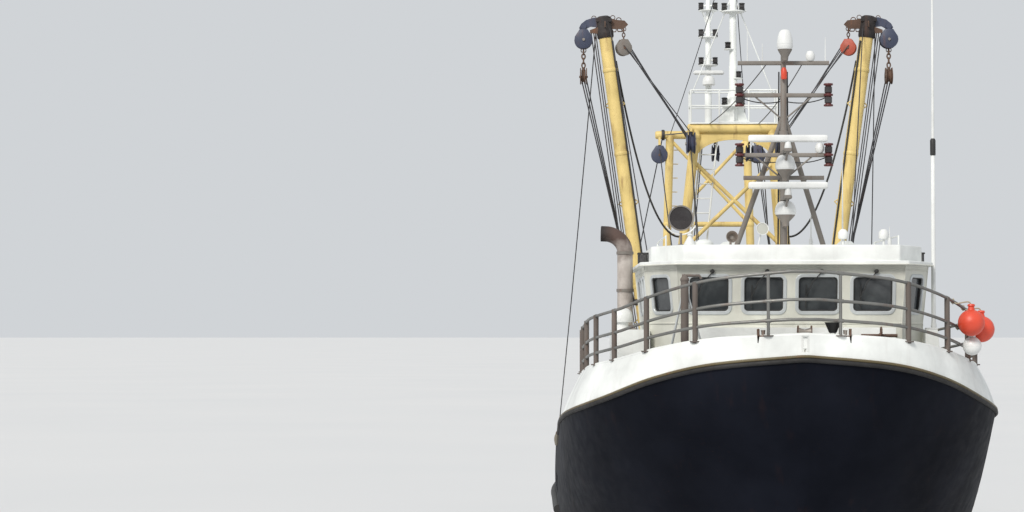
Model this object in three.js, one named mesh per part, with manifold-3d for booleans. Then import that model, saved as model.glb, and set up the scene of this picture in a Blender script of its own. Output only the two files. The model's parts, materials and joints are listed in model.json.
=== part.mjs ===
// A steel beam trawler, afloat, with her wheelhouse forward on a white whaleback and her two booms topped up.
// Millimetres. +Z is up, the bow points along -Y, port is +X. The origin is on the waterline, amidships.
// Lengths along the ship are given as s, the distance aft of the stem head.
import * as THREE from "three";
import { mergeVertices } from "three/addons/utils/BufferGeometryUtils.js";
import Module from "manifold-3d";

const wasm = await Module();
wasm.setup();

// Driving dimensions of the ship.
const LENGTH = 26500;
const HALF_BEAM = 3600;
const KEEL_Z = -3000;
const GAP = 0.3; // between two pieces that rest on each other
const ROWS_PER_STATION = 2;
const BREAK_STATION = 7; // the whaleback ends at this station
const WALL = 70; // bulwark plating with its stiffeners
const at = (s) => s - LENGTH / 2; // y of a place s aft of the stem head

// Colours and finishes.
const PAINT = (color) => ({ color, roughness: 0.5, metalness: 0.1 });
const NAVY = PAINT(0x10131c);
const WHITE = PAINT(0xe8e9e4);
const CREAM = PAINT(0xc9cbbd);
const YELLOW = PAINT(0xe8c24a);
const GREY = PAINT(0x77736b);
const BLUE = PAINT(0x2f3f70);
const ORANGE = PAINT(0xe8432e);
const RUST = PAINT(0x5a3a2c);
const STEEL = { color: 0x8d8a84, roughness: 0.45, metalness: 0.7 };
const BRONZE = { color: 0xa8803c, roughness: 0.35, metalness: 0.9 };

// Solids: three.js geometry in, manifold solid out.
function solid(geometry) {
  const bare = geometry.index ? geometry.toNonIndexed() : geometry.clone();
  bare.deleteAttribute("normal");
  bare.deleteAttribute("uv");
  const merged = mergeVertices(bare, 1e-3);
  return new wasm.Manifold(
    new wasm.Mesh({
      numProp: 3,
      vertProperties: merged.attributes.position.array,
      triVerts: new Uint32Array(merged.index.array),
    }),
  );
}

const join = (solids) => solids.reduce((all, one) => all.add(one));

// A box from its low corner to its high corner.
function box(x0, x1, y0, y1, z0, z1) {
  const geometry = new THREE.BoxGeometry(x1 - x0, y1 - y0, z1 - z0);
  return solid(geometry.translate((x0 + x1) / 2, (y0 + y1) / 2, (z0 + z1) / 2));
}

// A round rod, or a cone, between two points.
function rod(from, to, radius, endRadius = radius, sides = 8) {
  const a = new THREE.Vector3(...from);
  const along = new THREE.Vector3(...to).sub(a);
  const geometry = new THREE.CylinderGeometry(endRadius, radius, along.length(), sides);
  const turn = new THREE.Quaternion().setFromUnitVectors(
    new THREE.Vector3(0, 1, 0),
    along.clone().normalize(),
  );
  geometry.applyQuaternion(turn);
  const middle = a.clone().addScaledVector(along, 0.5);
  return solid(geometry.translate(middle.x, middle.y, middle.z));
}

const ball = (x, y, z, radius, sides = 10) =>
  solid(new THREE.SphereGeometry(radius, sides, sides / 2 + 1).translate(x, y, z));

// A body of revolution about a vertical axis at x, y, from [radius, z] pairs that start and end on the axis.
function turned(profile, x, y, sides = 12) {
  const points = profile.map(([r, z]) => new THREE.Vector2(r, z));
  return solid(new THREE.LatheGeometry(points, sides).rotateX(Math.PI / 2).translate(x, y, 0));
}

// A plate cut to an outline of [y, z] pairs, from x0 to x1.
function sidePlate(outline, x0, x1) {
  const shape = new THREE.Shape(outline.map(([y, z]) => new THREE.Vector2(y, z)));
  const geometry = new THREE.ExtrudeGeometry(shape, { depth: x1 - x0, bevelEnabled: false });
  geometry.applyMatrix4(new THREE.Matrix4().set(0, 0, 1, x0, 1, 0, 0, 0, 0, 1, 0, 0, 0, 0, 0, 1));
  return solid(geometry);
}

// A plate cut to an outline of [x, z] pairs, from y0 to y1.
function crossPlate(outline, y0, y1, holes = []) {
  const path = (pairs) => pairs.map(([x, z]) => new THREE.Vector2(x, z));
  const shape = new THREE.Shape(path(outline));
  holes.forEach((hole) => shape.holes.push(new THREE.Path(path(hole))));
  const geometry = new THREE.ExtrudeGeometry(shape, { depth: y1 - y0, bevelEnabled: false });
  geometry.applyMatrix4(new THREE.Matrix4().set(1, 0, 0, 0, 0, 0, -1, y1, 0, 1, 0, 0, 0, 0, 0, 1));
  return solid(geometry);
}

// A closed skin through rings of equal length, capped at both ends by a fan about each end ring's middle.
function loft(rings) {
  const count = rings[0].length;
  const points = rings.flat();
  const faces = [];
  for (let r = 0; r + 1 < rings.length; r++) {
    for (let i = 0; i < count; i++) {
      const a = r * count + i;
      const b = r * count + ((i + 1) % count);
      faces.push([a, b, b + count], [a, b + count, a + count]);
    }
  }
  const cap = (first, reverse) => {
    const ring = points.slice(first, first + count);
    const middle = ring.reduce((sum, p) => sum.map((v, k) => v + p[k] / count), [0, 0, 0]);
    points.push(middle);
    for (let i = 0; i < count; i++) {
      const face = [points.length - 1, first + i, first + ((i + 1) % count)];
      faces.push(reverse ? face.reverse() : face);
    }
  };
  const lastRing = (rings.length - 1) * count;
  cap(0, true);
  cap(lastRing, false);
  const positions = faces.flat().flatMap((i) => points[i]);
  const geometry = new THREE.BufferGeometry();
  geometry.setAttribute("position", new THREE.Float32BufferAttribute(positions, 3));
  const made = solid(geometry);
  if (made.volume() >= 0) return made;
  const turnedRound = faces.flatMap((face) => [...face].reverse()).flatMap((i) => points[i]);
  geometry.setAttribute("position", new THREE.Float32BufferAttribute(turnedRound, 3));
  return solid(geometry);
}

// A bent pipe through a list of points, mitred at each of them.
function pipe(points, radius, sides = 6) {
  const path = points.map((p) => new THREE.Vector3(...p));
  let across = new THREE.Vector3(0, 0, 1);
  const rings = path.map((p, k) => {
    const before = path[Math.max(0, k - 1)];
    const after = path[Math.min(path.length - 1, k + 1)];
    const along = after.clone().sub(before).normalize();
    if (Math.abs(along.dot(across)) > 0.9) across = new THREE.Vector3(0, 1, 0);
    across = across.clone().addScaledVector(along, -across.dot(along)).normalize();
    const third = along.clone().cross(across);
    const ring = [];
    for (let i = 0; i < sides; i++) {
      const turn = (2 * Math.PI * i) / sides;
      const spot = p.clone().addScaledVector(across, radius * Math.cos(turn));
      ring.push(spot.addScaledVector(third, radius * Math.sin(turn)).toArray());
    }
    return ring;
  });
  return loft(rings);
}

// The group of named meshes that this file exports.
const ship = new THREE.Group();

function part(name, made, look) {
  const { vertProperties, triVerts } = made.getMesh();
  const geometry = new THREE.BufferGeometry();
  geometry.setAttribute("position", new THREE.BufferAttribute(vertProperties, 3));
  geometry.setIndex(new THREE.BufferAttribute(triVerts, 1));
  geometry.computeVertexNormals();
  const mesh = new THREE.Mesh(geometry, new THREE.MeshStandardMaterial(look));
  mesh.name = name;
  ship.add(mesh);
}

// The lines plan. Each row is a station. Half-breadths and heights are at the keel, bilge, waterline, deck
// and top of the dark hull; sTop and sKeel say how the forward stations slant with the stem. The last two
// columns are the white band's top above the whaleback, and how far it leans in.
const COLUMNS = ["sTop", "sKeel", "keelX", "keelZ", "bilgeX", "bilgeZ", "waterX", "waterZ", "deckX", "deckZ"];
COLUMNS.push("topX", "topZ", "bandZ", "bandIn");
const STATIONS = [
  [0, 3400, 60, -2200, 60, -1300, 60, 0, 60, 2450, 60, 4680, 5000, 0],
  [350, 3700, 70, -2230, 130, -1300, 230, 0, 800, 2420, 1350, 4560, 4930, 30],
  [1000, 4300, 90, -2260, 350, -1300, 620, 0, 1600, 2390, 2200, 4350, 4800, 100],
  [2000, 5200, 110, -2300, 750, -1300, 1250, 0, 2400, 2330, 2920, 4040, 4620, 200],
  [3500, 6100, 120, -2330, 1350, -1350, 2050, 0, 3050, 2230, 3440, 3790, 4490, 310],
  [5500, 7300, 120, -2360, 2100, -1400, 2800, 0, 3440, 2100, 3590, 3600, 4390, 380],
  [8000, 8500, 120, -2380, 2750, -1450, 3300, 0, 3580, 1950, HALF_BEAM, 3370, 4300, 380],
  [9600, 9600, 120, -2390, 2980, -1480, 3420, 0, HALF_BEAM, 1860, HALF_BEAM, 3200, 4240, 380],
  [12500, 12500, 120, -2400, 3150, -1500, 3500, 0, HALF_BEAM, 1720, HALF_BEAM, 2880, 3950, 230],
  [16500, 16500, 120, -2350, 3150, -1400, 3520, 0, HALF_BEAM, 1600, HALF_BEAM, 2680, 3700, 230],
  [20000, 20000, 120, -1800, 2750, -850, 3420, 0, HALF_BEAM, 1620, 3590, 2700, 3700, 230],
  [22500, 22500, 110, -950, 1950, -420, 2980, 20, 3400, 1700, 3450, 2780, 3700, 230],
  [24700, 24700, 100, -300, 1300, -120, 2150, 200, 2970, 1800, 3060, 2900, 3700, 230],
  [LENGTH, LENGTH, 80, 250, 1000, 400, 1500, 700, 2050, 1900, 2150, 3000, 3700, 230],
];
const LAST_STATION = STATIONS.length - 1;
const STEM_CURVE = 1.4; // 1 is a straight raked stem

// The stations between the stations: a Catmull-Rom curve through each column.
function stationAt(u) {
  const i = Math.min(Math.floor(u), LAST_STATION - 1);
  const t = u - i;
  const row = (k) => STATIONS[Math.max(0, Math.min(LAST_STATION, k))];
  const found = {};
  COLUMNS.forEach((column, c) => {
    const [a, b, d, e] = [row(i - 1)[c], row(i)[c], row(i + 1)[c], row(i + 2)[c]];
    const bend = t * (2 * a - 5 * b + 4 * d - e + t * (3 * (b - d) + e - a));
    found[column] = b + 0.5 * t * (d - a + bend);
  });
  return found;
}

// How far aft of the stem head a station passes height z.
function aftAt(station, z) {
  const depth = (station.topZ - z) / (station.topZ - station.keelZ);
  return station.sTop + (station.sKeel - station.sTop) * Math.max(0, depth) ** STEM_CURVE;
}

const DECK_T = 0.75; // the section spline passes the deck edge here
function sideCurve(station) {
  const levels = ["keel", "bilge", "water", "deck", "top"];
  return new THREE.SplineCurve(
    levels.map((level) => new THREE.Vector2(station[level + "X"], station[level + "Z"])),
  );
}

// A closed ring from a station's [x, z] side points, port side mirrored from starboard.
function ringOf(station, side, shift = 0) {
  const port = side.map(([x, z]) => [x, at(aftAt(station, z) + shift), z]);
  const starboard = port.map(([x, y, z]) => [-x, y, z]).reverse();
  return [...port, ...starboard];
}

function rowsFrom(first, last) {
  const rows = [];
  for (let k = first * ROWS_PER_STATION; k <= last * ROWS_PER_STATION; k++) {
    rows.push(k / ROWS_PER_STATION);
  }
  return rows;
}

// Points up the side between two places on the section spline.
function sidePoints(station, from, to, steps) {
  const curve = sideCurve(station);
  const points = [];
  for (let k = 0; k <= steps; k++) {
    const p = curve.getPoint(from + ((to - from) * k) / steps);
    points.push([p.x, p.y]);
  }
  return points;
}

// The hull up to the main deck, with its keel and skeg, its rubbing strakes and the heel under the propeller.
const SKEG_HALF = 120;
const SHAFT = { s: 22750, z: -1800, radius: 60, clear: 3 };
const RUDDER = {
  s: 23900,
  fore: 23550,
  aft: 24800,
  top: -800,
  bottom: -2790,
  half: 70,
  stock: 65,
  pintle: 40,
  clear: 3,
};
const HEEL_END = 24150;

function hull() {
  const rings = rowsFrom(0, LAST_STATION).map((u) => {
    const station = stationAt(u);
    return ringOf(station, sidePoints(station, 0, DECK_T, 11));
  });
  const skeg = sidePlate(
    [
      [at(3700), -2100],
      [at(4700), -2700],
      [at(6500), KEEL_Z],
      [at(HEEL_END), KEEL_Z],
      [at(HEEL_END), KEEL_Z + 160],
      [at(22250), KEEL_Z + 160],
      [at(22050), -1000],
      [at(22050), -300],
      [at(12000), -300],
    ],
    -SKEG_HALF,
    SKEG_HALF,
  );
  const boss = rod([0, at(21400), SHAFT.z], [0, at(22420), SHAFT.z], 190, 150, 12);
  const made = join([loft(rings), skeg, boss, strake(1), strake(-1)]);
  const bore = (from, to, radius) => rod(from, to, radius, radius, 12);
  const y = at(RUDDER.s);
  const shaftBore = bore([0, at(22100), SHAFT.z], [0, at(22500), SHAFT.z], SHAFT.radius + SHAFT.clear);
  const stockBore = bore([0, y, RUDDER.top - 100], [0, y, 200], RUDDER.stock + RUDDER.clear);
  const pintleBore = bore([0, y, KEEL_Z + 40], [0, y, KEEL_Z + 300], RUDDER.pintle + RUDDER.clear);
  return made.subtract(shaftBore).subtract(stockBore).subtract(pintleBore);
}

// A rubbing strake of half-round steel along one side at the deck edge, from the break to the quarter.
function strake(side) {
  const STRAKE = { depth: 110, half: 80, inside: 150, first: 7, last: 12 };
  const rings = rowsFrom(STRAKE.first, STRAKE.last).map((u) => {
    const station = stationAt(u);
    const y = at(aftAt(station, station.deckZ));
    const corner = (out, up) => [side * (station.deckX + out), y, station.deckZ + up - STRAKE.half - 20];
    return [
      corner(-STRAKE.inside, -STRAKE.half),
      corner(STRAKE.depth, -STRAKE.half * 0.6),
      corner(STRAKE.depth, STRAKE.half * 0.6),
      corner(-STRAKE.inside, STRAKE.half),
    ];
  });
  return loft(rings);
}

// The dark forecastle under the whaleback, on the main deck.
function forecastle() {
  const rings = rowsFrom(0, BREAK_STATION).map((u) => {
    const station = stationAt(u);
    const side = sidePoints(station, DECK_T, 1, 3);
    return ringOf(station, side.map(([x, z], k) => [x, k ? z : z + GAP]));
  });
  return loft(rings);
}

// The white whaleback: a deck with a band of plating round it, level with the eye at the stem.
const WHALEBACK_Z = 4150;
const BAND = 60;
const whalebackDeck = (station) => Math.max(station.topZ + 60, WHALEBACK_Z);

// The outside of the whaleback's plating, from a lower edge given by side(station), and the hollow within the
// band. Grow thickens the plating all over.
function bandLoft(side, grow = 0) {
  return loft(
    rowsFrom(0, BREAK_STATION).map((u) => {
      const station = stationAt(u);
      const edge = [...side(station), [station.topX - station.bandIn, station.bandZ + grow]];
      return ringOf(station, edge.map(([x, z]) => [x + grow, z]), -grow);
    }),
  );
}

function bandHollow(grow = 0) {
  return loft(
    rowsFrom(0, BREAK_STATION).map((u) => {
      const station = stationAt(u);
      const forward = Math.max(0, 1 - u / 3) * 1.7 * BAND;
      const past = (u / BREAK_STATION) ** 8 * BAND;
      const insideX = Math.max(5, station.topX - station.bandIn - BAND - forward * 0.4 - grow);
      const side = [
        [insideX, whalebackDeck(station) + grow],
        [insideX, station.bandZ + BAND],
      ];
      return ringOf(station, side, forward + past + grow);
    }),
  );
}

const whaleback = () =>
  bandLoft((station) => [[station.topX, station.topZ + GAP]]).subtract(bandHollow());

// Cuts the foot of a fitting to the slope of the whaleback that it stands on.
const foredeck = bandLoft((station) => sidePoints(station, DECK_T, 1, 3), GAP).subtract(bandHollow(GAP));
const standing = (fitting) => fitting.subtract(foredeck);

// The main bulwark, from the break of the whaleback round the stern, with its freeing ports.
function bulwark() {
  const rows = rowsFrom(BREAK_STATION - 1, LAST_STATION);
  const outer = rows.map((u) => {
    const station = stationAt(u);
    const side = sidePoints(station, DECK_T, 1, 2);
    return ringOf(station, side.map(([x, z], k) => [x, k ? z : z + GAP]));
  });
  const inner = rows.map((u) => {
    const station = stationAt(u);
    const inset = WALL * (1 + Math.max(0, u - 11) * 0.35);
    const side = sidePoints(station, DECK_T, 1, 2);
    const raised = side.map(([x, z], k) => [x - inset, z + (k - 1) * 2 * WALL]);
    return ringOf(station, raised, u === LAST_STATION ? -WALL : 0);
  });
  const behindBreak = box(-4000, 4000, at(9600 + GAP), at(LENGTH + 500), 0, 4000);
  const walls = loft(outer).subtract(loft(inner)).intersect(behindBreak);
  const PORTS = { first: 11200, step: 2400, count: 5, length: 1100, low: 130, high: 400 };
  let cut = walls;
  for (let k = 0; k < PORTS.count; k++) {
    const s = PORTS.first + k * PORTS.step;
    const z = deckZ(s + PORTS.length / 2);
    cut = cut.subtract(box(-4000, 4000, at(s), at(s + PORTS.length), z + PORTS.low, z + PORTS.high));
  }
  return cut;
}

// The station at s, and the height of the main deck there.
function stationBeside(s) {
  let u = 0;
  while (u < LAST_STATION && stationAt(u).sTop < s) u += 0.02;
  return stationAt(Math.min(u, LAST_STATION));
}

const deckZ = (s) => stationBeside(s).deckZ;

const hullSolid = hull();
const onDeck = (fitting) => fitting.subtract(hullSolid.translate(0, 0, GAP));

part("hull", hullSolid, NAVY);
const forecastleSolid = forecastle();
part("forecastle", forecastleSolid, NAVY);
const bulwarkSolid = bulwark();
part("bulwark", bulwarkSolid, NAVY);

// The wheelhouse: a flat front with two angled corner panels, raked outward above the sills.
// She carries it a little to port, so that the alley by the exhaust stays clear.
const HOUSE = {
  x: 120,
  front: 3500,
  aft: 8300,
  frontHalf: 1800,
  half: 2250,
  corner: 780,
  sill: 5180,
  top: 6130,
  rake: 150,
  wall: 80,
};
const WINDOW = { z0: 5370, z1: 5950, half: 330, round: 80 };
const FRONT_WINDOWS = [-1325, -440, 440, 1325];
const SIDE_WINDOWS = [5050, 6000, 6950];

// The wheelhouse plan at height z, grown outward by grow.
function housePlan(z, grow = 0) {
  const rake = (HOUSE.rake * Math.max(0, z - HOUSE.sill)) / (HOUSE.top - HOUSE.sill);
  const out = rake + grow;
  const half = HOUSE.half + out * 0.6;
  const plan = [
    [HOUSE.frontHalf + out * 0.3, HOUSE.front - out],
    [half, HOUSE.front + HOUSE.corner - out * 0.3],
    [half, HOUSE.aft + grow],
  ];
  const mirrored = plan.map(([x, s]) => [-x, s]).reverse();
  return [...plan, ...mirrored].map(([x, s]) => [HOUSE.x + x, at(s), z]);
}

// A round-cornered hole of the window's height, square to a wall at turn radians from dead ahead.
function windowCutter(x, s, turn, half = WINDOW.half, z0 = WINDOW.z0, z1 = WINDOW.z1) {
  const shape = new THREE.Shape();
  const r = WINDOW.round;
  shape.moveTo(-half + r, z0);
  shape.lineTo(half - r, z0);
  shape.quadraticCurveTo(half, z0, half, z0 + r);
  shape.lineTo(half, z1 - r);
  shape.quadraticCurveTo(half, z1, half - r, z1);
  shape.lineTo(-half + r, z1);
  shape.quadraticCurveTo(-half, z1, -half, z1 - r);
  shape.lineTo(-half, z0 + r);
  shape.quadraticCurveTo(-half, z0, -half + r, z0);
  const geometry = new THREE.ExtrudeGeometry(shape, { depth: 700, bevelEnabled: false, curveSegments: 2 });
  geometry.translate(0, 0, -350).rotateX(Math.PI / 2).rotateZ(turn);
  return solid(geometry.translate(HOUSE.x + x, at(s), 0));
}

const DOOR = { x0: 350, x1: 1050, z0: 4200, z1: 6000, thick: 50, clear: 6 };

function wheelhouseWalls() {
  const levels = [WHALEBACK_Z + GAP, HOUSE.sill, HOUSE.top];
  const outer = levels.map((z) => housePlan(z));
  const inner = [levels[0] - 50, HOUSE.sill, HOUSE.top + 50].map((z) => housePlan(z, -HOUSE.wall));
  let walls = loft(outer).subtract(loft(inner));
  FRONT_WINDOWS.forEach((x) => {
    walls = walls.subtract(windowCutter(x, HOUSE.front, 0));
  });
  const cornerTurn = Math.atan2(HOUSE.corner, HOUSE.half - HOUSE.frontHalf);
  const cornerX = (HOUSE.half + HOUSE.frontHalf) / 2;
  [1, -1].forEach((side) => {
    walls = walls.subtract(
      windowCutter(side * (cornerX + 40), HOUSE.front + HOUSE.corner / 2 - 20, side * cornerTurn, 270),
    );
    SIDE_WINDOWS.forEach((s) => {
      walls = walls.subtract(windowCutter(side * HOUSE.half, s, Math.PI / 2));
    });
  });
  walls = walls.subtract(windowCutter(-900, HOUSE.aft, 0, 420));
  const doorway = box(
    HOUSE.x + DOOR.x0 - DOOR.clear,
    HOUSE.x + DOOR.x1 + DOOR.clear,
    at(HOUSE.aft - 200),
    at(HOUSE.aft + 100),
    DOOR.z0 - DOOR.clear,
    DOOR.z1 + DOOR.clear,
  );
  return walls.subtract(doorway);
}

// The roof: a thin eave that overhangs the walls, and a fascia box on it.
const ROOF = { eave: 70, overhang: 130, thick: 330 };
const ROOF_Z = HOUSE.top + ROOF.thick;

function wheelhouseRoof() {
  const level = (z, grow, narrow) =>
    housePlan(HOUSE.top, grow).map(([x, y]) => [HOUSE.x + (x - HOUSE.x) * narrow, y, z]);
  const eave = [HOUSE.top + GAP, HOUSE.top + ROOF.eave].map((z) => level(z, ROOF.overhang, 1));
  const fascia = [HOUSE.top + ROOF.eave - 1, ROOF_Z].map((z) => level(z, ROOF.overhang - 30, 0.93));
  return join([loft(eave), loft(fascia)]);
}

function wheelhouseDoor() {
  const leaf = box(
    HOUSE.x + DOOR.x0,
    HOUSE.x + DOOR.x1,
    at(HOUSE.aft - 60),
    at(HOUSE.aft - 60 + DOOR.thick),
    DOOR.z0,
    DOOR.z1,
  );
  const middle = (DOOR.x0 + DOOR.x1) / 2;
  const handle = rod(
    [HOUSE.x + DOOR.x0 + 90, at(HOUSE.aft - 20), 4950],
    [HOUSE.x + DOOR.x0 + 90, at(HOUSE.aft + 60), 4950],
    15,
  );
  const knuckles = [4500, 5600].map((z) =>
    box(
      HOUSE.x + DOOR.x1 - 10,
      HOUSE.x + DOOR.x1 + DOOR.clear - 0.5,
      at(HOUSE.aft - 22),
      at(HOUSE.aft - 60 + DOOR.thick),
      z,
      z + 110,
    ),
  );
  return join([leaf.subtract(windowCutter(middle, HOUSE.aft, 0, 200)), handle, ...knuckles]);
}

part("wheelhouse_walls", wheelhouseWalls(), CREAM);
part("wheelhouse_door", wheelhouseDoor(), CREAM);

// What stands inside the wheelhouse and shows through its windows.
function helmConsole() {
  const s = HOUSE.front + 350;
  const desk = box(HOUSE.x - 1400, HOUSE.x + 1400, at(s), at(s + 600), WHALEBACK_Z + GAP, 4950);
  const screens = [-900, -300, 300, 900].map((x) =>
    box(HOUSE.x + x - 230, HOUSE.x + x + 230, at(s + 80), at(s + 200), 4949, 5300),
  );
  return join([desk, ...screens]);
}

function helmChair() {
  const s = HOUSE.front + 1700;
  const foot = rod([HOUSE.x, at(s), WHALEBACK_Z + GAP], [HOUSE.x, at(s), 4500], 180, 60);
  const seat = box(HOUSE.x - 260, HOUSE.x + 260, at(s - 250), at(s + 250), 4490, 4620);
  const back = box(HOUSE.x - 240, HOUSE.x + 240, at(s + 180), at(s + 270), 4610, 5350);
  return join([foot, seat, back]);
}

part("helm_console", helmConsole(), GREY);
part("helm_chair", helmChair(), NAVY);

// The lower house round the wheelhouse: a locker ahead of it and a casing on each side.
const CASING = { inner: HOUSE.half + 10, top: 5090, front: 4000, aft: 7900 };

function frontLocker() {
  const s = HOUSE.front - GAP;
  const half = 1640;
  return standing(box(HOUSE.x - half, HOUSE.x + half, at(s - 480), at(s), WHALEBACK_Z - 50, 5120));
}

function casing(side, width, slope) {
  const inner = HOUSE.x + side * CASING.inner;
  const outline = [
    [inner, WHALEBACK_Z + GAP],
    [inner + side * width, WHALEBACK_Z + GAP],
    [inner + side * (width - slope), CASING.top],
    [inner, CASING.top],
  ];
  return crossPlate(outline, at(CASING.front), at(CASING.aft));
}

part("front_locker", frontLocker(), WHITE);
part("casing_starboard", casing(-1, 560, 0), WHITE);
part("casing_port", casing(1, 290, 90), WHITE);

// The engine exhaust, a stout pipe that ends in a sooty gooseneck turned to starboard.
const EXHAUST = { x: -2470, s: 6400, radius: 135, top: 6430 };
const COWL = { x: -2580, s: 4700 };

function exhaustPipe() {
  const y = at(EXHAUST.s);
  const route = [
    [0, CASING.top - EXHAUST.top + 20],
    [0, -60],
    [-30, 90],
    [-100, 200],
    [-210, 270],
    [-360, 300],
  ];
  const bent = pipe(
    route.map(([dx, dz]) => [EXHAUST.x + dx, y, EXHAUST.top + dz]),
    EXHAUST.radius,
    12,
  );
  const foot = box(EXHAUST.x - 190, EXHAUST.x + 190, y - 190, y + 190, CASING.top + GAP, CASING.top + 30);
  return join([foot, bent]);
}

function ventCowl() {
  const profile = [
    [0, CASING.top + GAP],
    [110, CASING.top + GAP],
    [110, CASING.top + 120],
    [170, CASING.top + 130],
    [180, CASING.top + 230],
    [130, CASING.top + 330],
    [0, CASING.top + 370],
  ];
  return turned(profile, COWL.x, at(COWL.s));
}

// A tall aerial in two lengths. Its foot plate stands on the port casing and reaches past the roof's edge.
const AERIAL = { x: 2575, s: 4400, foot: 2440, joint: 8100, top: 11500 };

function aerialPole() {
  const y = at(AERIAL.s);
  const seat = CASING.top + GAP;
  const plate = box(AERIAL.foot, AERIAL.x + 60, y - 80, y + 80, seat, seat + 30);
  const lower = rod([AERIAL.x, y, seat + 10], [AERIAL.x, y, AERIAL.joint], 38, 34, 10);
  const sleeve = rod([AERIAL.x, y, AERIAL.joint - 120], [AERIAL.x, y, AERIAL.joint + 160], 46, 46, 10);
  const upper = rod([AERIAL.x, y, AERIAL.joint], [AERIAL.x, y, AERIAL.top], 26, 14, 8);
  return join([plate, lower, sleeve, upper]);
}

part("exhaust_pipe", exhaustPipe(), GREY);
part("vent_cowl", ventCowl(), WHITE);
part("aerial_pole", aerialPole(), WHITE);

// The radar mast on the wheelhouse roof: a pole on two spread legs, with four yards.
const MAST = { x: HOUSE.x, s: 4600, foot: 740, apex: 8660, top: 9720, pole: 60, yard: 35 };
const YARDS = [
  { z: 7620, half: 670 },
  { z: 8000, half: 750 },
  { z: 9000, half: 760 },
  { z: 9540, half: 760 },
];
const LANTERNS = [
  { z: 9000, x: -740, radius: 75, half: 175 },
  { z: 9000, x: 740, radius: 75, half: 175 },
  { z: 8000, x: -740, radius: 75, half: 160 },
  { z: 8000, x: 740, radius: 80, half: 260 },
];

function radarMast() {
  const y = at(MAST.s);
  const foot = ROOF_Z + GAP;
  const pole = rod([MAST.x, y, foot], [MAST.x, y, MAST.top], MAST.pole, 45, 8);
  const legs = [1, -1].map((side) =>
    rod([MAST.x + side * MAST.foot, y + 700, foot + 30], [MAST.x, y, MAST.apex], 45, 45, 8),
  );
  const pads = [1, -1].map((side) => {
    const x = MAST.x + side * MAST.foot;
    return box(x - 110, x + 110, y + 590, y + 810, foot, foot + 40);
  });
  const yards = YARDS.map(({ z, half }) =>
    box(MAST.x - half, MAST.x + half, y - MAST.yard, y + MAST.yard, z - MAST.yard, z + MAST.yard),
  );
  const lanterns = LANTERNS.map(({ z, x, radius, half }) =>
    rod([MAST.x + x, y, z - half], [MAST.x + x, y, z + half], radius, radius, 8),
  );
  const base = box(MAST.x - 150, MAST.x + 150, y - 150, y + 150, foot, foot + 40);
  const brackets = RADOMES.map(({ z, radius }) => {
    const ahead = y - RADOME_AHEAD;
    const cone = rod([MAST.x, ahead, z - 190], [MAST.x, ahead, z - GAP], 50, radius * 0.9, 10);
    return cone.add(box(MAST.x - 35, MAST.x + 35, ahead, y, z - 200, z - 120));
  });
  const seats = SCANNERS.map(({ z }) =>
    box(MAST.x - 60, MAST.x + 60, y - SCANNER_AHEAD - 60, y, z - 190, z - 130),
  );
  return join([base, ...pads, pole, ...legs, ...yards, ...lanterns, ...brackets, ...seats]);
}

const RADOME_AHEAD = 280;
const RADOMES = [
  { name: "radome_lower", z: 6990, radius: 180, height: 230 },
  { name: "radome_middle", z: 7740, radius: 170, height: 250 },
  { name: "radome_upper", z: 9740, radius: 135, height: 330 },
];
const SCANNER_AHEAD = 760;
const SCANNERS = [
  { name: "radar_scanner_lower", z: 7420 },
  { name: "radar_scanner_upper", z: 8190 },
];

part("radar_mast", radarMast(), GREY);
RADOMES.forEach(({ name, z, radius, height }) => {
  const profile = [
    [0, z],
    [radius * 0.9, z],
    [radius, z + height * 0.25],
    [radius, z + height * 0.6],
    [radius * 0.7, z + height * 0.92],
    [0, z + height],
  ];
  part(name, turned(profile, MAST.x, at(MAST.s) - RADOME_AHEAD), WHITE);
});
SCANNERS.forEach(({ name, z }) => {
  const y = at(MAST.s) - SCANNER_AHEAD;
  const shaft = rod([MAST.x, y, z - 129.7], [MAST.x, y, z], 55, 40, 10);
  const bar = rod([MAST.x - 650, y, z + 30], [MAST.x + 650, y, z + 30], 60, 60, 8);
  part(name, join([shaft, bar]), WHITE);
});

// Lights and aerials on the roof.
function searchlight() {
  const x = HOUSE.x - 1750;
  const y = at(4050);
  const foot = rod([x, y, ROOF_Z - 20], [x, y, ROOF_Z + 250], 40);
  const drum = rod([x, y - 120, ROOF_Z + 420], [x, y + 120, ROOF_Z + 420], 170, 150, 12);
  return join([foot, drum, rod([x, y, ROOF_Z + 240], [x, y, ROOF_Z + 300], 60)]);
}

function whips() {
  const rail = box(HOUSE.x + 500, HOUSE.x + 1950, at(5600), at(5680), ROOF_Z - 20, ROOF_Z + 60);
  const WHIPS = [
    { x: 560, high: 620 },
    { x: 1100, high: 1500 },
    { x: 1900, high: 350 },
  ];
  const rods = WHIPS.map(({ x, high }) =>
    rod([HOUSE.x + x, at(5640), ROOF_Z + 50], [HOUSE.x + x, at(5640), ROOF_Z + high], 22, 12, 6),
  );
  return join([rail, ...rods]);
}

function sidelight(side) {
  const x = HOUSE.x + side * (HOUSE.half + 78);
  return box(x - 80, x + 80, at(5100), at(5400), HOUSE.top + 60, HOUSE.top + 250);
}

const roofFittings = [searchlight(), whips(), sidelight(-1), sidelight(1)];
part("wheelhouse_roof", join([wheelhouseRoof(), ...roofFittings]), WHITE);

// The rail on the whaleback, three tubes high, that runs round the bow from side to side.
const RAIL = { levels: [0.25, 0.56, 1], high: 970, low: 790, radius: 24, post: 42, last: 6.4, inside: 45 };
const RAIL_POSTS = [0.45, 1.35, 2.35, 3.17, 3.8, 4.6, 5.5, RAIL.last];

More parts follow.
